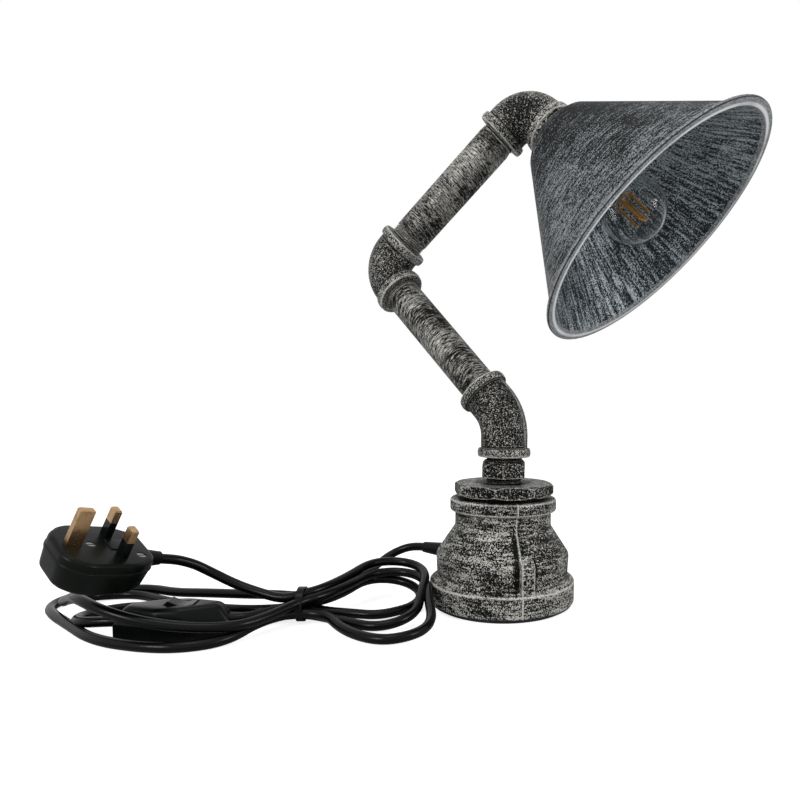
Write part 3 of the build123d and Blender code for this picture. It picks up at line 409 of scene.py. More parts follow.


# %% [markdown]
# The iron is painted black and then dry-brushed with silver: a nearly empty brush leaves paint on
# the grain of the casting, in streaks the way the brush went, and most on edges and ribs. Black and
# silver could be two layered shaders, but the paint is either there or not, so one mask is enough:
# specks and grains, plus streaks stretched along the stroke, plus large clouds where the brush was
# fuller. Hollows lower the mask, because no brush reaches them and as painted shade, and open edges
# are rubbed brighter, which also paints a highlight on them.

# %% Dry-brushed paint
PAINT_BLACK = (0.0032, 0.0032, 0.003)
SILVER = (0.52, 0.51, 0.475)
# the silver of rubbed edges, brighter also as a painted highlight
RUBBED_AND_HIGHLIT_SILVER = (0.62, 0.61, 0.58)
HOLLOW, RUBBED_AND_HIGHLIT_EDGE, RIM_WIDTH = 7.0 * MM, 1.3 * MM, 1.2 * MM
HALF_COVERED = 0.09


def brushed_paint(name, origin, axis, speck=1100.0, speck_part=1.0, stroke=(70.0, 7.0), stroke_part=0.4,
                  slant=0.0, cloud=(34.0, 0.3), cover=0.0, gain=0.15, rims=(), seam_marks=None, fuller_and_lit=None):
    """Black paint with silver brushed over it round an axis.

    speck is the fineness of the grain, stroke and cloud are (fineness, length) and (fineness, part),
    cover is how much more silver there is, and gain is how softly it ends. rims lists circles that
    are rubbed bright and painted as highlights, and seam_marks and fuller_and_lit give the mask's own
    changes on this piece, some of which are painted light and shade.
    """
    paint = Finish(name)
    stroke_scale, stroke_stretch = stroke
    cloud_scale, cloud_part = cloud
    specks = paint.noise(paint.place, speck, 1.0, 0.6)
    grains = paint.noise(paint.place, speck * 0.42, 1.0, 0.5)
    strokes = paint.noise(
        paint.along(origin, axis, (1, 1, 1 / stroke_stretch), slant), stroke_scale, 3.0, 0.6)
    clouds = paint.noise(paint.place, cloud_scale, 2.0, 0.5)
    corners = paint.crevice(HOLLOW)
    open_face = (1 - corners).above(0.35, 0.75)
    amount = ((specks - 0.5) * 1.35 + (grains - 0.5) * 0.45) * speck_part + cover
    amount = amount + (strokes - 0.5) * stroke_part + (clouds - 0.5) * cloud_part
    if fuller_and_lit:
        amount = amount + fuller_and_lit(paint)
    if seam_marks:
        amount = amount - seam_marks(paint)
    # hollows lose silver: no brush reaches them, and this is also painted shade
    amount = amount - corners.above(0.25, 0.8) * 0.3
    silvered = amount.above(HALF_COVERED - gain, HALF_COVERED + gain)
    base = paint.mix(silvered, colour(*PAINT_BLACK), colour(*SILVER))
    # edges and rims are rubbed bright, and the brighter silver there is also a painted highlight
    rubbed_and_highlit = paint.edge(RUBBED_AND_HIGHLIT_EDGE) * open_face
    for rim_origin, rim_axis, circles in rims:
        rings = paint.rings(paint.along(rim_origin, rim_axis), circles, RIM_WIDTH)
        rubbed_and_highlit = rubbed_and_highlit.most(rings * clouds.above(0.20, 0.50))
    base = paint.mix(rubbed_and_highlit * specks.above(0.25, 0.55) * 0.95, base, colour(*RUBBED_AND_HIGHLIT_SILVER))
    height = specks * 0.5 + strokes * stroke_part * 0.4
    return paint.surface(
        base_color=base, metallic=silvered * 0.25, roughness=0.5 - silvered * 0.08,
        specular_ior_level=0.06, normal=paint.bump(height, 0.35, 0.0006))


# %% [markdown]
# On the foot, which is a reducing socket, the brush marks run round it and wave on the cone, the
# rims of its bands are rubbed bright and carry a painted highlight, and beside the casting seam and
# the lug there are dark strips. Those marks could be separate strips of mesh, but they have no
# thickness. So they are strips of the mask, found from the angle round the foot and the height.

# %% The foot
SEAM, LUG_RIGHT = -78.55, -68.6  # degrees round the foot
BAND_TOP, LUG_TOP = 0.019, 0.036  # metres above the table


def beside_the_seam(paint):
    """Dark strips beside the seam and lug, and bright lines on them, the lug's partly a painted highlight."""
    x, y, z = paint.parts(paint.place)
    angle = paint.angle(x, y) * (180 / math.pi)
    left = angle.between(SEAM - 8.0, SEAM - 3.0, SEAM - 1.6, SEAM - 0.7) * (1 - z.above(0.050, 0.062))
    right_of_seam = angle.between(SEAM + 0.6, SEAM + 1.2, SEAM + 2.5, SEAM + 5.0) * z.above(0.040, 0.044)
    right = angle.between(LUG_RIGHT, LUG_RIGHT + 0.8, LUG_RIGHT + 0.8, LUG_RIGHT + 6.0)
    right = right * (1 - z.above(LUG_TOP, LUG_TOP + 0.008))
    on_seam = angle.between(SEAM - 0.9, SEAM - 0.4, SEAM + 0.4, SEAM + 0.9)
    strips = (left + right) * z.above(BAND_TOP, BAND_TOP + 0.004)
    strips = strips + right_of_seam * (1 - z.above(0.056, 0.066)) * 0.3
    broken = paint.noise(paint.place, 160.0, 2.0, 0.6).above(0.35, 0.6)
    # a bright line on the lug's edge: rubbed silver, and partly a painted highlight
    lug_edge = angle.between(LUG_RIGHT - 1.0, LUG_RIGHT - 0.5, LUG_RIGHT, LUG_RIGHT + 0.6)
    lug_edge = lug_edge * (1 - z.above(LUG_TOP, LUG_TOP + 0.002)) * z.above(BAND_TOP, BAND_TOP + 0.002)
    return strips * 0.32 - (on_seam + lug_edge) * (broken * 0.7 + 0.3) * 0.35


def foot_cover(paint):
    """A fuller brush on the bottom band and on the ridge under the cone, and waves of it all over."""
    z = paint.parts(paint.place)[2]
    ridge = z.between(0.033, 0.037, 0.038, 0.042)
    waves = paint.noise(paint.along((0, 0, 0), UP, (1, 1, 1 / 8)), 42.0, 2.0, 0.5)
    return (1 - z.above(0.017, 0.020)) * 0.05 + ridge * 0.07 + (waves - 0.5) * 0.55


# the rims of the bands: rubbed bright, and a painted highlight
foot_rims = [(0.05235, 0.0178), (0.0382, 0.0769), (0.0382, 0.0688)]
foot_paint = brushed_paint(
    "brushed_foot", (0, 0, 0), UP, speck=1250.0, stroke=(95.0, 8.0), stroke_part=0.8, speck_part=1.2,
    cover=-0.05, rims=[((0, 0, 0), UP, foot_rims)], seam_marks=beside_the_seam, fuller_and_lit=foot_cover)
print("foot", foot_paint.name, "with", len(foot_rims), "rubbed rims")

# %% [markdown]
# The bush and the nipple above the foot were hardly touched by the brush: they are black with fine
# grain. The bush's flat top is painted lighter, as light from above would make it, and painted shade
# darkens it close round the nipple that stands on it.


# %% The bush and the nipple
def top_light_and_nipple_shade(paint):
    """Painted light on faces that look up, and painted shade close round the nipple."""
    looking_up = paint.parts(paint.facing())[2]
    x, y, z = paint.parts(paint.place)
    away = ((x * x + y * y) ** 0.5).above(0.0165, 0.0225)
    # up-facing faces are painted lighter, and painted shade darkens them close round the nipple
    return looking_up.above(0.85, 0.97) * (away * 0.40 - 0.30)


bush_paint = brushed_paint(
    "brushed_bush", (0, 0, 0), UP, stroke_part=0.15, speck_part=1.2, cover=-0.11, fuller_and_lit=top_light_and_nipple_shade)
nipple_paint = brushed_paint("brushed_nipple", (0, 0, 0), UP, stroke_part=0.3, speck_part=1.2, cover=-0.13)
print("bush and nipple", bush_paint.name, nipple_paint.name)

# %% [markdown]
# The elbows are rough castings: no strokes show on them, only silver grain, with more of it on the
# collar at each mouth, a bright line round the collar's rim that is also a painted highlight, and
# painted shade in the corner behind it. The top elbow's upper faces are painted lighter, as light
# from above would make them.
# The centres and axes are those of the arm at rest, where the finishes are laid on.


# %% The elbows
bend_centre = Vector((0, 0, 135.0)) * MM
lower_axis = Vector((-0.59303, 0.385118, 0.707107))
elbow_centre = Vector((-94.29, 61.23, 247.43)) * MM
upper_axis = Vector((0.678596, -0.233634, 0.696364))
top_centre = Vector((14.623, 23.736, 359.196)) * MM
shade_axis = Vector((0.606719, -0.356078, -0.710704))
# a collar's rim circle is rubbed bright and painted as a highlight; the other circle is painted shade
COLLAR_RIM, COLLAR_SHADE_RING = (0.0188, 0.0282), (0.0170, 0.0220)  # radius, and distance from the centre


def elbow_paint(name, centre, inlet, outlet, cover, painted_top_light=0.0):
    """The finish of an elbow with a mouth in each of two directions, and painted light on its top."""

    def collars(paint):
        """More silver on the collars, painted shade in the corner behind each, and painted top light."""
        looking_up = paint.parts(paint.facing())[2]
        # faces that look up are painted lighter, as light from above would make them
        amount = looking_up.above(0.2, 0.9) * painted_top_light
        for axis in (inlet, outlet):
            from_centre = paint.along(centre, axis)
            collar = paint.parts(from_centre)[2].above(0.0220, 0.0228)
            # the ring taken off in the corner behind each collar is painted shade
            amount = amount + collar * 0.09 - paint.rings(from_centre, [COLLAR_SHADE_RING], 0.0016) * 0.35
        return amount

    return brushed_paint(
        name, centre, inlet, speck=1400.0, stroke_part=0.15, speck_part=1.15, gain=0.15,
        cloud=(45.0, 0.35), cover=cover, fuller_and_lit=collars,
        rims=[(centre, inlet, [COLLAR_RIM]), (centre, outlet, [COLLAR_RIM])])


low_elbow_paint = elbow_paint("brushed_low_elbow", bend_centre, -UP, lower_axis, -0.12)
mid_elbow_paint = elbow_paint("brushed_mid_elbow", elbow_centre, -lower_axis, upper_axis, -0.08)
top_elbow_paint = elbow_paint("brushed_top_elbow", top_centre, -upper_axis, shade_axis, -0.11, painted_top_light=0.16)
print("elbows", low_elbow_paint.name, mid_elbow_paint.name, top_elbow_paint.name)

# %% [markdown]
# The pipes are smooth, so there the strokes show, fine as hatching. They slant, because the brush
# climbed as it went round, and the lower pipe's slant more. A slanted Mapping node does that
# without a pattern of its own.

# %% The pipes
lower_pipe_paint = brushed_paint(
    "brushed_lower_pipe", bend_centre, lower_axis, speck_part=0.35, stroke=(170.0, 9.0), stroke_part=1.4,
    slant=-0.5, cloud=(36.0, 0.6), cover=-0.02, gain=0.22)
upper_pipe_paint = brushed_paint(
    "brushed_upper_pipe", elbow_centre, upper_axis, speck_part=0.4, stroke=(190.0, 8.0), stroke_part=1.2,
    slant=-0.2, cloud=(36.0, 0.5), cover=0.0, gain=0.22)
print("pipes", lower_pipe_paint.name, upper_pipe_paint.name)

# %% [markdown]
# The shade is spun from sheet steel. Outside, the silver is brushed round it, along the rim. Inside,
# it is brushed outwards from the crown, over a bluer black. One solid has both faces, so the
# material tells them apart by the direction of the face, taken in the object's own space so that it
# holds when the arm is turned. Painted light makes the outside lighter low down and darker high up,
# and painted shade makes the inside darker low down. The lip is bright where hands and brush rub
# it, and that brightness is also a painted highlight; a painted shade line darkens its rolled edge.

# %% Shade paint
SHADE_RIM = 141.05 * MM  # from the top elbow's centre, along the shade
SHADE_BLACK, SHADE_SILVER = (0.006, 0.0075, 0.0085), (0.30, 0.32, 0.335)
INSIDE_BLACK, INSIDE_SILVER = (0.014, 0.018, 0.022), (0.42, 0.465, 0.49)
# the lip's bright silver is also a painted highlight, and the roll's dark colour is painted shade
LIP_GREY, LIP_RUBBED_HIGHLIT_SILVER, ROLL_SHADE = (0.36, 0.375, 0.385), (0.70, 0.71, 0.72), (0.03, 0.03, 0.035)
LIP_RADIUS, ROLL_RADIUS = 91.2 * MM, 95.6 * MM


def shade_paint():
    """Cool silver over black: round the outside, outwards on the inside, rubbed at the lip, with painted
    light.
    """
    paint = Finish("brushed_shade")
    local = paint.along(top_centre, shade_axis)
    x, y, z = paint.parts(local)
    radius = (x * x + y * y) ** 0.5
    around = paint.angle(x, y)
    fine = paint.noise(paint.place, 1200.0, 1.0, 0.6)
    clouds = paint.noise(paint.place, 26.0, 2.0, 0.5)
    # painted light: the outside lighter low down and darker high up, the inside darker low down
    painted_light_low_side = 1 - paint.parts(paint.place)[2].above(0.27, 0.37)
    # outside, long strokes round the cone
    strokes = paint.noise(paint.along(top_centre, shade_axis, (1, 1, 1 / 9), 0.03), 90.0, 4.0, 0.7)
    outer_amount = (strokes - 0.5) * 1.4 + (fine - 0.5) * 1.4 + (clouds - 0.5) * 0.35
    outer_mask = (outer_amount + painted_light_low_side * 0.26 - 0.24).above(-0.06, 0.26)
    outer = paint.mix(outer_mask, colour(*SHADE_BLACK), colour(*SHADE_SILVER))
    # inside, strokes from the crown to the rim
    fan = paint.node("CombineXYZ", {}, {"X": around * 34.0, "Y": radius * 75.0, "Z": 0.0})
    rays_out = paint.noise(fan, 1.0, 3.0, 0.6)
    inner_amount = (rays_out - 0.5) * 1.2 + (fine - 0.5) * 1.5 + (clouds - 0.5) * 0.3
    inner_mask = (inner_amount - painted_light_low_side * 0.15 + 0.12).above(-0.04, 0.23)
    inner = paint.mix(inner_mask, colour(*INSIDE_BLACK), colour(*INSIDE_SILVER))
    # a face that looks away from the shade's axis is outside
    flat = paint.node("VectorMath", {"operation": "MULTIPLY"}, {0: local, 1: (1, 1, 0)})
    turned = paint.node("VectorRotate", {"rotation_type": "EULER_XYZ", "invert": True}, {
        "Vector": paint.facing(), "Rotation": UP.rotation_difference(shade_axis).to_euler()})
    outwards = paint.node("VectorMath", {"operation": "DOT_PRODUCT"}, {0: flat, 1: turned}, "Value")
    outside = outwards.above(-0.0001, 0.0001)
    base = paint.mix(outside, inner, outer)
    # the lip: rubbed bright in front, which is also a painted highlight, with a painted shade line where it
    # is rolled back
    lip = z.above(SHADE_RIM - 0.0030, SHADE_RIM - 0.0024)
    rubbed_and_highlit = paint.rings(local, [(LIP_RADIUS, SHADE_RIM)], 0.0016)
    roll_shade = paint.rings(local, [(ROLL_RADIUS, SHADE_RIM - 0.0004)], 0.0007)
    base = paint.mix(lip * fine.above(0.2, 0.7) * 0.9, base, colour(*LIP_GREY))
    base = paint.mix(rubbed_and_highlit * clouds.above(0.25, 0.55), base, colour(*LIP_RUBBED_HIGHLIT_SILVER))
    base = paint.mix(roll_shade, base, colour(*ROLL_SHADE))
    metal = (outer_mask * outside * 0.12 + inner_mask * (1 - outside) * 0.3) * (1 - lip)
    height = strokes * outside * 0.5 + rays_out * (1 - outside) * 0.5 + fine * 0.4
    return paint.surface(base_color=base, metallic=metal, roughness=0.55 - metal * 0.1,
                         specular_ior_level=0.05, normal=paint.bump(height, 0.3, 0.0004))


shade_finish = shade_paint()
print("shade finish", shade_finish.name)

# %% [markdown]
# The cord's sheath, the plug and the switch are black PVC and urea mouldings. A plain dark colour
# would look like a hole, because black plastic is never quite even: a fine moulded grain breaks up
# the gloss, and handling leaves paler scuffs and edges. One function makes them all.


# %% Black plastics and rubber
def black_moulding(name, base, rough, grain_scale=900.0, grain=0.25, scuff=0.02, gloss=0.3):
    """Black plastic with a fine moulded grain and faint scuffs."""
    skin = Finish(name)
    grains = skin.noise(skin.place, grain_scale, 2.0, 0.5)
    scuffs = skin.noise(skin.along((0, 0, 0), (0.3, 0.5, 1), (1, 1, 0.25)), 420.0, 4.0, 0.7).above(0.6, 0.75)
    edges = skin.edge(0.6 * MM)
    shine = skin.noise(skin.place, 60.0, 2.0, 0.5)
    worn = (scuffs * 0.5 + edges * 0.7).least(1.0)
    tone = skin.mix(worn, colour(*base), colour(*[part + scuff for part in base]))
    return skin.surface(base_color=tone, roughness=rough + (shine - 0.5) * 0.2 + scuffs * 0.12,
                        specular_ior_level=gloss, normal=skin.bump(grains, grain, 0.0002))


cord_sheath = black_moulding(
    "cord_sheath", (0.0014, 0.0019, 0.0016), 0.24, grain_scale=700.0, grain=0.10, scuff=0.005, gloss=0.13)
plug_plastic = black_moulding(
    "plug_plastic", (0.0016, 0.0028, 0.0018), 0.34, grain=0.22, scuff=0.012, gloss=0.10)
switch_plastic = black_moulding(
    "switch_plastic", (0.0015, 0.0024, 0.002), 0.30, grain=0.18, scuff=0.012, gloss=0.12)
rocker_plastic = black_moulding(
    "rocker_plastic", (0.0015, 0.0024, 0.002), 0.22, grain=0.08, scuff=0.012, gloss=0.15)
gland_rubber = black_moulding(
    "gland_rubber", (0.002, 0.0024, 0.002), 0.40, grain_scale=800.0, grain=0.25, scuff=0.012, gloss=0.12)
foot_rubber = black_moulding(
    "foot_rubber", (0.006, 0.006, 0.006), 0.75, grain_scale=800.0, grain=0.5, gloss=0.15)
bakelite = black_moulding("bakelite", (0.008, 0.007, 0.006), 0.28, grain=0.1, gloss=0.4)
plate_paint = black_moulding(
    "plate_paint", (0.008, 0.008, 0.008), 0.45, grain_scale=700.0, grain=0.4, scuff=0.03, gloss=0.25)
print("plastics", [m.name for m in (cord_sheath, plug_plastic, switch_plastic, rocker_plastic, bakelite)])

# %% [markdown]
# Pins, screws, nuts and springs are drawn or turned metal. A mirror-smooth metal looks computed, so
# fine scratches run along its length, stains dull it in patches, and its edges are polished.


# %% Brass, zinc and steel
def bright_metal(name, base, rough, axis, tarnish=(0.25, 0.14, 0.07)):
    """Drawn or turned metal with fine scratches along its length and some tarnish."""
    skin = Finish(name)
    scratches = skin.noise(skin.along((0, 0, 0), axis, (1, 1, 8)), 1500.0, 3.0, 0.6)
    stains = skin.noise(skin.place, 260.0, 3.0, 0.6).above(0.45, 0.75)
    edges = skin.edge(0.5 * MM)
    dulled = stains * 0.55 + scratches.above(0.55, 0.7) * 0.2
    tone = skin.mix(dulled, colour(*base), colour(*tarnish))
    tone = skin.mix(edges * 0.5, tone, colour(*[min(1.0, part * 1.25) for part in base]))
    return skin.surface(base_color=tone, metallic=1.0, roughness=rough + scratches * 0.14,
                        normal=skin.bump(scratches, 0.3, 0.0002))


pin_brass = bright_metal("pin_brass", (0.46, 0.29, 0.15), 0.18, plug_face_normal, (0.16, 0.09, 0.045))
contact_brass = bright_metal("contact_brass", (0.75, 0.58, 0.30), 0.3, (0, 0, 1))
zinc = bright_metal("zinc_plate", (0.56, 0.56, 0.55), 0.32, shade_axis, (0.3, 0.29, 0.27))
screw_steel = bright_metal("screw_steel", (0.26, 0.28, 0.27), 0.3, plug_face_normal, (0.2, 0.2, 0.19))
spring_steel = bright_metal("spring_steel", (0.45, 0.44, 0.42), 0.35, (1, 0, 0), (0.2, 0.18, 0.15))
print("metals", [m.name for m in (pin_brass, contact_brass, zinc, screw_steel, spring_steel)])

# %% [markdown]
# The bulb is thin blown glass round light sticks with an amber coating. Glass as thin as that
# hardly bends light, and with the refractive index of a thick piece it would look like a lens. So
# the index is low, and only the rim and the highlights show the glass.


# %% Glass, coating and ceramic
def clear_glass(name, tint, rough):
    """Thin blown glass, a little uneven."""
    skin = Finish(name)
    waves = skin.noise(skin.place, 90.0, 2.0, 0.5)
    return skin.surface(base_color=colour(*tint), roughness=rough + waves * 0.02, transmission_weight=1.0,
                        ior=1.16, normal=skin.bump(waves, 0.08, 0.0005))


def phosphor():
    """The amber coating of the bulb's light sticks, lumpy with chips under it."""
    skin = Finish("amber_phosphor")
    chips = skin.noise(skin.along(top_centre, shade_axis, (1, 1, 0.6)), 700.0, 2.0, 0.5)
    tone = skin.mix(chips.above(0.4, 0.65), colour(0.26, 0.11, 0.02), colour(0.40, 0.21, 0.05))
    return skin.surface(base_color=tone, roughness=0.38 + chips * 0.15, normal=skin.bump(chips, 0.5, 0.0004))


def white_ceramic():
    """Glazed ceramic with fine flecks."""
    skin = Finish("fuse_ceramic")
    flecks = skin.noise(skin.place, 1300.0, 3.0, 0.6).above(0.62, 0.72)
    tone = skin.mix(flecks, colour(0.80, 0.79, 0.74), colour(0.55, 0.53, 0.47))
    return skin.surface(base_color=tone, roughness=0.3 + flecks * 0.2, normal=skin.bump(flecks, 0.1, 0.0002))


bulb_glass_finish = clear_glass("bulb_glass_clear", (0.97, 0.985, 0.98), 0.01)
stem_glass_finish = clear_glass("stem_glass", (0.92, 0.95, 0.93), 0.06)
phosphor_finish = phosphor()
ceramic_finish = white_ceramic()
print("materials", len(bpy.data.materials))

# %% [markdown]
# The solids of the part stay as they are, and only change their material slots. A table from each
# finish to its solids is easy to check against the list of nodes. The inner leads aren't in it:
# they are the same flex as the cord, and take its sheath.

# %% Every solid of the part gets its finish
solids_of = [
    (foot_rubber, "base_pad"),
    (plate_paint, "base_plate"),
    (foot_paint, "base_reducer"),
    (bush_paint, "reducing_bushing"),
    (nipple_paint, "hex_nipple shade_locknut"),
    (low_elbow_paint, "elbow_45"),
    (mid_elbow_paint, "elbow_mid"),
    (top_elbow_paint, "elbow_top"),
    (lower_pipe_paint, "lower_pipe"),
    (upper_pipe_paint, "upper_pipe"),
    (shade_finish, "shade"),
    (zinc, "base_plate_screws shade_backnut shade_nipple holder_bush holder_stud bulb_cap cord_gland_nut"),
    (gland_rubber, "cord_gland plug_cord_sleeve"),
    (bakelite, "lampholder_cap lampholder_skirt"),
    (ceramic_finish, "lampholder_insert plug_fuse"),
    (contact_brass, "lampholder_screw_shell lampholder_contact lampholder_screws switch_contacts"),
    (bulb_glass_finish, "bulb_glass"),
    (stem_glass_finish, "bulb_stem"),
    (phosphor_finish, "bulb_filaments"),
    (switch_plastic, "switch_base switch_cover switch_bearings"),
    (rocker_plastic, "switch_rocker plug_pin_sleeves"),
    (screw_steel, "switch_screws plug_screws"),
    (plug_plastic, "plug_base plug_cover plug_cord_grip"),
    (pin_brass, "plug_earth_pin plug_line_pins"),
    (spring_steel, "plug_fuse_clips"),
    (cord_sheath, "cord_from_lamp cord_to_plug cord_hank cord_tie"),
]
finishes = {name: finish for finish, names in solids_of for name in names.split()}
for name, node in nodes.items():
    node.data.materials.clear()
    node.data.materials.append(finishes.get(name, cord_sheath))
print("finished", len(nodes), "solids;", sorted(set(nodes) - set(finishes)))

# %% [markdown]
# The cord made above stands for the three solids that held its place in the part. It rides on the
# foot, because it leaves the lamp there.

# %% The cord takes its place
cord.data.materials.append(cord_sheath)
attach(cord, "base")
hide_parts("cord_from_lamp", "cord_to_plug", "cord_hank")
print("cord", cord_sheath.name, "on base")

# %% [markdown]
# A pipe thread is a groove that climbs as it goes round. A Screw modifier makes such a groove as a
# loose ribbon whose ends have to be closed by hand. Here a bar is spun from a closed outline with
# many rows of points instead, and then every point of its outer wall is drawn in by how far it lies
# from the thread's crest along the helix. That gives a true helix with no loose ends.

# %% Turning a bmesh into a piece
SAME_PLACE = 1e-6


def finished(name, shape, place, finish, body, replaces, smooth_angle=35.0):
    """Turns a bmesh into a piece in its place, riding on its body."""
    bmesh.ops.remove_doubles(shape, verts=shape.verts, dist=SAME_PLACE)
    bmesh.ops.recalc_face_normals(shape, faces=shape.faces)
    bmesh.ops.transform(shape, matrix=place, verts=shape.verts)
    mesh = bpy.data.meshes.new(name)
    shape.to_mesh(mesh)
    shape.free()
    mesh.materials.append(finish)
    made = bpy.data.objects.new(name, mesh)
    scene.collection.objects.link(made)
    mesh.shade_smooth()
    mesh.set_sharp_from_angle(angle=math.radians(smooth_angle))
    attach(made, body)
    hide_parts(*replaces)
    print(name, len(mesh.polygons), "faces")
    return made


# %% Spinning a bar
def spun(outline, steps=96):
    """A closed solid spun from a closed outline of (radius, height) corners."""
    shape = bmesh.new()
    corners = [shape.verts.new((radius, 0, height)) for radius, height in outline]
    edges = [shape.edges.new((a, b)) for a, b in zip(corners, corners[1:] + corners[:1])]
    bmesh.ops.spin(shape, geom=corners + edges, cent=(0, 0, 0), axis=UP, dvec=(0, 0, 0),
                   angle=math.tau, steps=steps, use_merge=True, use_duplicate=False)
    bmesh.ops.remove_doubles(shape, verts=shape.verts, dist=SAME_PLACE)
    return shape


def rows(start, end, step):
    """Heights from start to end, no further apart than step."""
    count = max(1, math.ceil(abs(end - start) / step))
    return [start + (end - start) * k / count for k in range(count + 1)]


# %% Cutting its threads
THREAD_PITCH, THREAD_DEPTH, THREAD_RADIUS = 1.814 * MM, 1.0 * MM, 13.2 * MM
THREAD_ROW, BODY_ROW = THREAD_PITCH / 8, 6.0 * MM
WALL_LEFT = 0.5 * MM


def draw_in(vertex, radius, cut):
    """Moves a point at this radius towards the Z axis by a cut."""
    vertex.co.x *= (radius - cut) / radius
    vertex.co.y *= (radius - cut) / radius


def cut_threads(shape, threads, bore):
    """Draws the wall of a spun bar in along a helix, over the given spans of its length."""
    for vertex in shape.verts:
        radius = math.hypot(vertex.co.x, vertex.co.y)
        if radius < bore + WALL_LEFT:
            continue
        phase = (vertex.co.z / THREAD_PITCH - math.atan2(vertex.co.y, vertex.co.x) / math.tau) % 1.0
        cut = 0.0
        for low, high in threads:
            if low <= vertex.co.z <= high:
                reach = min(1.0, max(vertex.co.z - low, high - vertex.co.z) / THREAD_PITCH)
                cut = max(cut, THREAD_DEPTH * (1 - abs(2 * phase - 1)) * reach)
        draw_in(vertex, radius, cut)
    return shape


def threaded_bar(outer, bore, start, end, threads, body_start, body_end):
    """A pipe with threads over the given spans, and its full size from body_start to body_end."""
    heights = sorted(set(
        rows(start, body_start, THREAD_ROW) + rows(body_start, body_end, BODY_ROW)
        + rows(body_end, end, THREAD_ROW)
        + [h for low, high in threads for h in rows(low, high, THREAD_ROW)]))
    outline = [(outer if body_start <= h <= body_end else THREAD_RADIUS, h) for h in heights]
    return cut_threads(spun(outline + [(bore, end), (bore, start)]), threads, bore)


# %% [markdown]
# The two pipes of the arm are the same but for their length. Each is threaded at both ends, deep
# enough to be screwed into its fitting, and the last turns of the thread stay outside, where they
# show. The upper pipe isn't screwed in as far as the lower one, so it shows more of them.

# %% The two pipes
REACH, ENGAGED, GAP = 28.5 * MM, 12.5 * MM, 0.5 * MM
PIPE_RADIUS, PIPE_BORE = 13.45 * MM, 10.8 * MM
LOWER_RUN, UPPER_RUN = 159.0 * MM, 160.5 * MM  # from the centre of one fitting to that of the next
SHORT_THREAD, LONG_THREAD = 2.5 * MM, 7.0 * MM


def upright_frame(origin, axis):
    """Turns a piece made on the Z axis so that it stands along an axis from an origin."""
    return Matrix.Translation(origin) @ UP.rotation_difference(Vector(axis)).to_matrix().to_4x4()


def dressed_pipe(name, origin, axis, run, finish, body, lower_thread, upper_thread):
    """A pipe of the arm, with the last turns of its threads showing outside the fittings."""
    start, end = REACH, run - REACH
    shape = threaded_bar(
        PIPE_RADIUS, PIPE_BORE, start - ENGAGED, end + ENGAGED,
        [(start - ENGAGED, start + lower_thread), (end - upper_thread, end + ENGAGED)],
        start + GAP, end - GAP)
    finished(name + "_threaded", shape, upright_frame(origin, axis), finish, body,
             (name,))


dressed_pipe("lower_pipe", bend_centre, lower_axis, LOWER_RUN, lower_pipe_paint, "lower_arm",
             SHORT_THREAD, SHORT_THREAD)
dressed_pipe("upper_pipe", elbow_centre, upper_axis, UPPER_RUN, upper_pipe_paint, "upper_arm",
             LONG_THREAD, SHORT_THREAD)

# %% [markdown]
# The nipple is turned from hexagon bar: both ends are cut back round and threaded, and a cone turned
# on its top takes the corners off, which leaves the arcs that every nut has. A hexagon cut with a
# Boolean would lose the rows that the threads need. So it is spun like the pipes, as a bar with the
# radius of the corners, and its flats are then found from the angle.

# %% The hexagon nipple
NIPPLE_CORNER, NIPPLE_APOTHEM, NIPPLE_TOP = 17.436 * MM, 15.1 * MM, 13.8 * MM
NIPPLE_BORE, NIPPLE_TURN = 11.0 * MM, math.radians(24.6)
RUN_OUT = 0.2 * MM
CONE_ROWS = 12
nipple_start, hexagon_start, cone_start, hexagon_end, nipple_end = (
    height * MM for height in (75.5, 91.8, 99.8, 104.3, 119.0))
cone_outline = [
    (NIPPLE_CORNER + (NIPPLE_TOP - NIPPLE_CORNER) * k / CONE_ROWS,
     cone_start + (hexagon_end - cone_start) * k / CONE_ROWS) for k in range(CONE_ROWS + 1)]
nipple_shape = spun(
    [(THREAD_RADIUS, height) for height in rows(nipple_start, hexagon_start, THREAD_ROW)]
    + [(NIPPLE_CORNER, hexagon_start)] + cone_outline
    + [(THREAD_RADIUS, height) for height in rows(hexagon_end, nipple_end, THREAD_ROW)]
    + [(NIPPLE_BORE, nipple_end), (NIPPLE_BORE, nipple_start)])
for vertex in nipple_shape.verts:
    radius = math.hypot(vertex.co.x, vertex.co.y)
    if radius > THREAD_RADIUS + RUN_OUT:
        off_middle = math.atan2(vertex.co.y, vertex.co.x) % (math.tau / 6) - math.tau / 12
        draw_in(vertex, radius, max(0.0, radius - NIPPLE_APOTHEM / math.cos(off_middle)))
cut_threads(nipple_shape, [(nipple_start, hexagon_start - RUN_OUT), (hexagon_end + RUN_OUT, nipple_end)],
            NIPPLE_BORE)
finished("hex_nipple_threaded", nipple_shape, Matrix.Rotation(NIPPLE_TURN, 4, "Z"), nipple_paint, "base",
         ("hex_nipple",), smooth_angle=25.0)

# %% [markdown]
# The plug and the switch cover are hollow mouldings with every outer edge rounded. Each starts as
# one face, which is lifted to a block; its upright corners are rounded first, and the rim after
# them, so that the rounding runs on round each corner. A Bevel modifier on the finished shape would
# round the holes as well. So the rooms inside and the screw wells are cut out last.


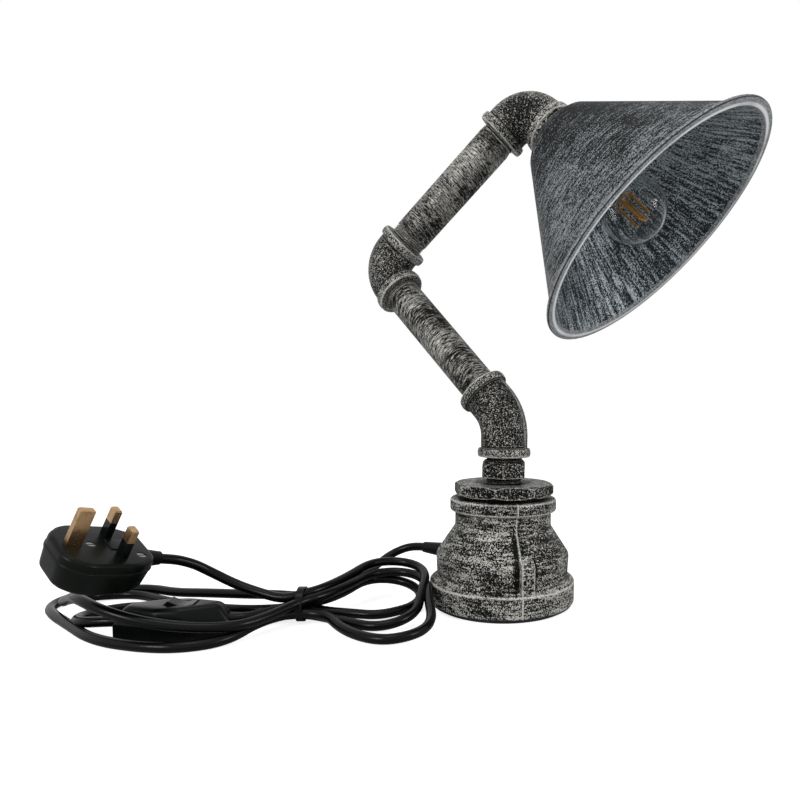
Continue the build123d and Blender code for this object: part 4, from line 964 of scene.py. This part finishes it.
# %% Helpers for mouldings
def moulded_block(corners, start, end, corner_round, rim_round, draft=(1.0, 1.0)):
    """A block from one height to another, in millimetres, rounded at its corners and its end's rim."""
    shape = bmesh.new()
    face = shape.faces.new([shape.verts.new((x * MM, y * MM, start * MM)) for x, y in corners])
    lifted = [part for part in bmesh.ops.extrude_face_region(shape, geom=[face])["geom"]
              if isinstance(part, bmesh.types.BMVert)]
    bmesh.ops.translate(shape, verts=lifted, vec=(0, 0, (end - start) * MM))
    bmesh.ops.scale(shape, verts=lifted, vec=(*draft, 1))
    upright = [edge for edge in shape.edges if abs(edge.verts[0].co.z - edge.verts[1].co.z) > 0.2 * MM]
    bmesh.ops.bevel(shape, geom=upright, offset=corner_round * MM, segments=6, profile=0.5,
                    affect="EDGES", material=-1)
    rim = [edge for edge in shape.edges if all(abs(vertex.co.z - end * MM) < 1e-7 for vertex in edge.verts)]
    bmesh.ops.bevel(shape, geom=rim, offset=rim_round * MM, segments=5, profile=0.5,
                    affect="EDGES", material=-1)
    bmesh.ops.recalc_face_normals(shape, faces=shape.faces)
    return shape


def round_bar(place, radius, length, along="Z"):
    """A cylinder with its middle at a place, in millimetres."""
    turn = Matrix.Rotation(math.radians(90), 4, "Y") if along == "X" else Matrix.Identity(4)
    shape = bmesh.new()
    bmesh.ops.create_cone(shape, cap_ends=True, segments=40, radius1=radius * MM, radius2=radius * MM,
                          depth=length * MM, matrix=Matrix.Translation(Vector(place) * MM) @ turn)
    return shape


def shaped(shape, steps):
    """A bmesh after each (operation, other bmesh) of the steps."""
    held = []
    for other in [shape] + [other for operation, other in steps]:
        mesh = bpy.data.meshes.new("held")
        other.to_mesh(mesh)
        other.free()
        held.append(bpy.data.objects.new("held", mesh))
        scene.collection.objects.link(held[-1])
    for (operation, other), tool in zip(steps, held[1:]):
        change = held[0].modifiers.new(operation, "BOOLEAN")
        change.operation, change.solver, change.object = operation, "EXACT", tool
    bpy.context.view_layer.update()
    mesh = bpy.data.meshes.new_from_object(held[0].evaluated_get(bpy.context.evaluated_depsgraph_get()))
    made = bmesh.new()
    made.from_mesh(mesh)
    for data in [thing.data for thing in held] + [mesh]:
        bpy.data.meshes.remove(data)  # and with it the object that shows it
    open_edges = [edge for edge in made.edges if len(edge.link_faces) != 2]
    print("shaped", len(made.faces), "faces, open edges", len(open_edges))
    return made


# %% [markdown]
# The plug is a base with the pins in it and a cover screwed on behind. Both are made in the plug's
# own frame, whose X runs from the cord to the earth pin and whose Z comes out of the pin face, and
# are then laid where the cord ends. The base has a wider skirt where the halves meet, and a low boss
# between the line pins. Each shape is a sum of blocks, less its rooms and holes.

# %% The two halves of the plug
PLUG_SPLIT, PLUG_FACE, PLUG_BACK = -7.5, 0.0, -20.5
plug_corners = [(23.5, 12.5), (14.0, 22.8), (-14.0, 22.8), (-27.5, 14.0),
                (-27.5, -14.0), (-14.0, -22.8), (14.0, -22.8), (23.5, -12.5)]
cover_corners = [(x * 0.985, y * 0.985) for x, y in plug_corners]
room_corners = [(x * 0.89, y * 0.89) for x, y in plug_corners]
boss_corners = [(-4.0, 5.5), (-14.0, 5.5), (-14.0, -5.5), (-4.0, -5.5)]
EARTH_SCREW, CORD_SCREW = (4.7, -0.6), (-19.1, 10.5)
HEAD_WELL, SHANK_HOLE = 2.65, 1.65
CORD_MOUTH = ((-27.5, 0, -9.0), 5.25, 9.0, "X")
plug_turn = Matrix((plug_towards_earth, plug_out.cross(plug_towards_earth), plug_out)).transposed().to_4x4()
plug_frame = Matrix.Translation(plug_place * MM) @ plug_turn

plug_base = shaped(moulded_block(cover_corners, PLUG_SPLIT, PLUG_FACE, 5.0, 2.6), [
    ("UNION", moulded_block(plug_corners, PLUG_SPLIT, -5.6, 5.0, 0.8)),
    ("UNION", moulded_block(boss_corners, -1.0, 0.6, 1.2, 0.4)),
    ("DIFFERENCE", moulded_block(room_corners, -8.5, -3.4, 3.0, 0.5)),
    ("DIFFERENCE", round_bar((*EARTH_SCREW, -0.8), HEAD_WELL, 3.5)),
    ("DIFFERENCE", round_bar((*EARTH_SCREW, -4.0), SHANK_HOLE, 9.0)),
    ("DIFFERENCE", round_bar((*CORD_SCREW, -0.8), HEAD_WELL, 3.5)),
    ("DIFFERENCE", round_bar((*CORD_SCREW, -4.0), SHANK_HOLE, 9.0)),
    ("DIFFERENCE", round_bar(*CORD_MOUTH))])
plug_cover = shaped(moulded_block(cover_corners, -7.6, PLUG_BACK, 5.0, 2.8, (0.95, 0.95)), [
    ("DIFFERENCE", moulded_block(room_corners, -7.0, -18.1, 3.0, 0.5, (0.96, 0.96))),
    ("UNION", round_bar((*EARTH_SCREW, -13.3), 3.4, 11.2)),
    ("DIFFERENCE", round_bar((*EARTH_SCREW, -10.0), SHANK_HOLE, 8.0)),
    ("DIFFERENCE", round_bar(*CORD_MOUTH))])
moulded = [
    finished("plug_base_moulded", plug_base, plug_frame, plug_plastic, "base",
             ("plug_base",)),
    finished("plug_cover_moulded", plug_cover, plug_frame, plug_plastic, "base",
             ("plug_cover",))]

# %% [markdown]
# The switch's cover is a flat-bottomed shell with a window for the rocker, a hole for the cord at
# each end and two screw wells. Its sides lean in, because a moulding has to leave its mould, and
# the draft of the block gives that lean.

# %% The cover of the switch
SWITCH_SPLIT, SWITCH_TOP = 9.05, 19.5
switch_corners = [(33.8, 5.4), (8.5, 14.3), (-8.5, 14.3), (-33.8, 5.4),
                  (-33.8, -5.4), (-8.5, -14.3), (8.5, -14.3), (33.8, -5.4)]
switch_room = [(25.0, 5.0), (8.5, 9.1), (-8.5, 9.1), (-25.0, 5.0),
               (-25.0, -5.0), (-8.5, -9.1), (8.5, -9.1), (25.0, -5.0)]
switch_window = [(13.4, 5.3), (-5.4, 5.3), (-5.4, -5.3), (13.4, -5.3)]
switch_screws = [(16.0, -8.6, 10.0), (-16.0, 8.6, 10.0)]
switch_place = Vector((-205.0, -60.0, 0)) * MM
switch_frame = Matrix.Translation(switch_place) @ Matrix.Rotation(math.radians(3.0), 4, "Z")

switch_cover = shaped(moulded_block(switch_corners, SWITCH_SPLIT, SWITCH_TOP, 2.4, 3.2, (0.80, 0.84)), [
    ("DIFFERENCE", moulded_block(switch_room, 8.0, 17.5, 1.5, 0.5)),
    ("DIFFERENCE", moulded_block(switch_window, 14.0, 22.0, 0.3, 0.2)),
    ("DIFFERENCE", round_bar((0, 0, 9.0), 3.3, 72.0, "X")),
    *[("DIFFERENCE", round_bar(place, 1.15, 7.0)) for place in switch_screws]])
moulded.append(finished("switch_cover_moulded", switch_cover, switch_frame, switch_plastic, "base",
                        ("switch_cover",)))
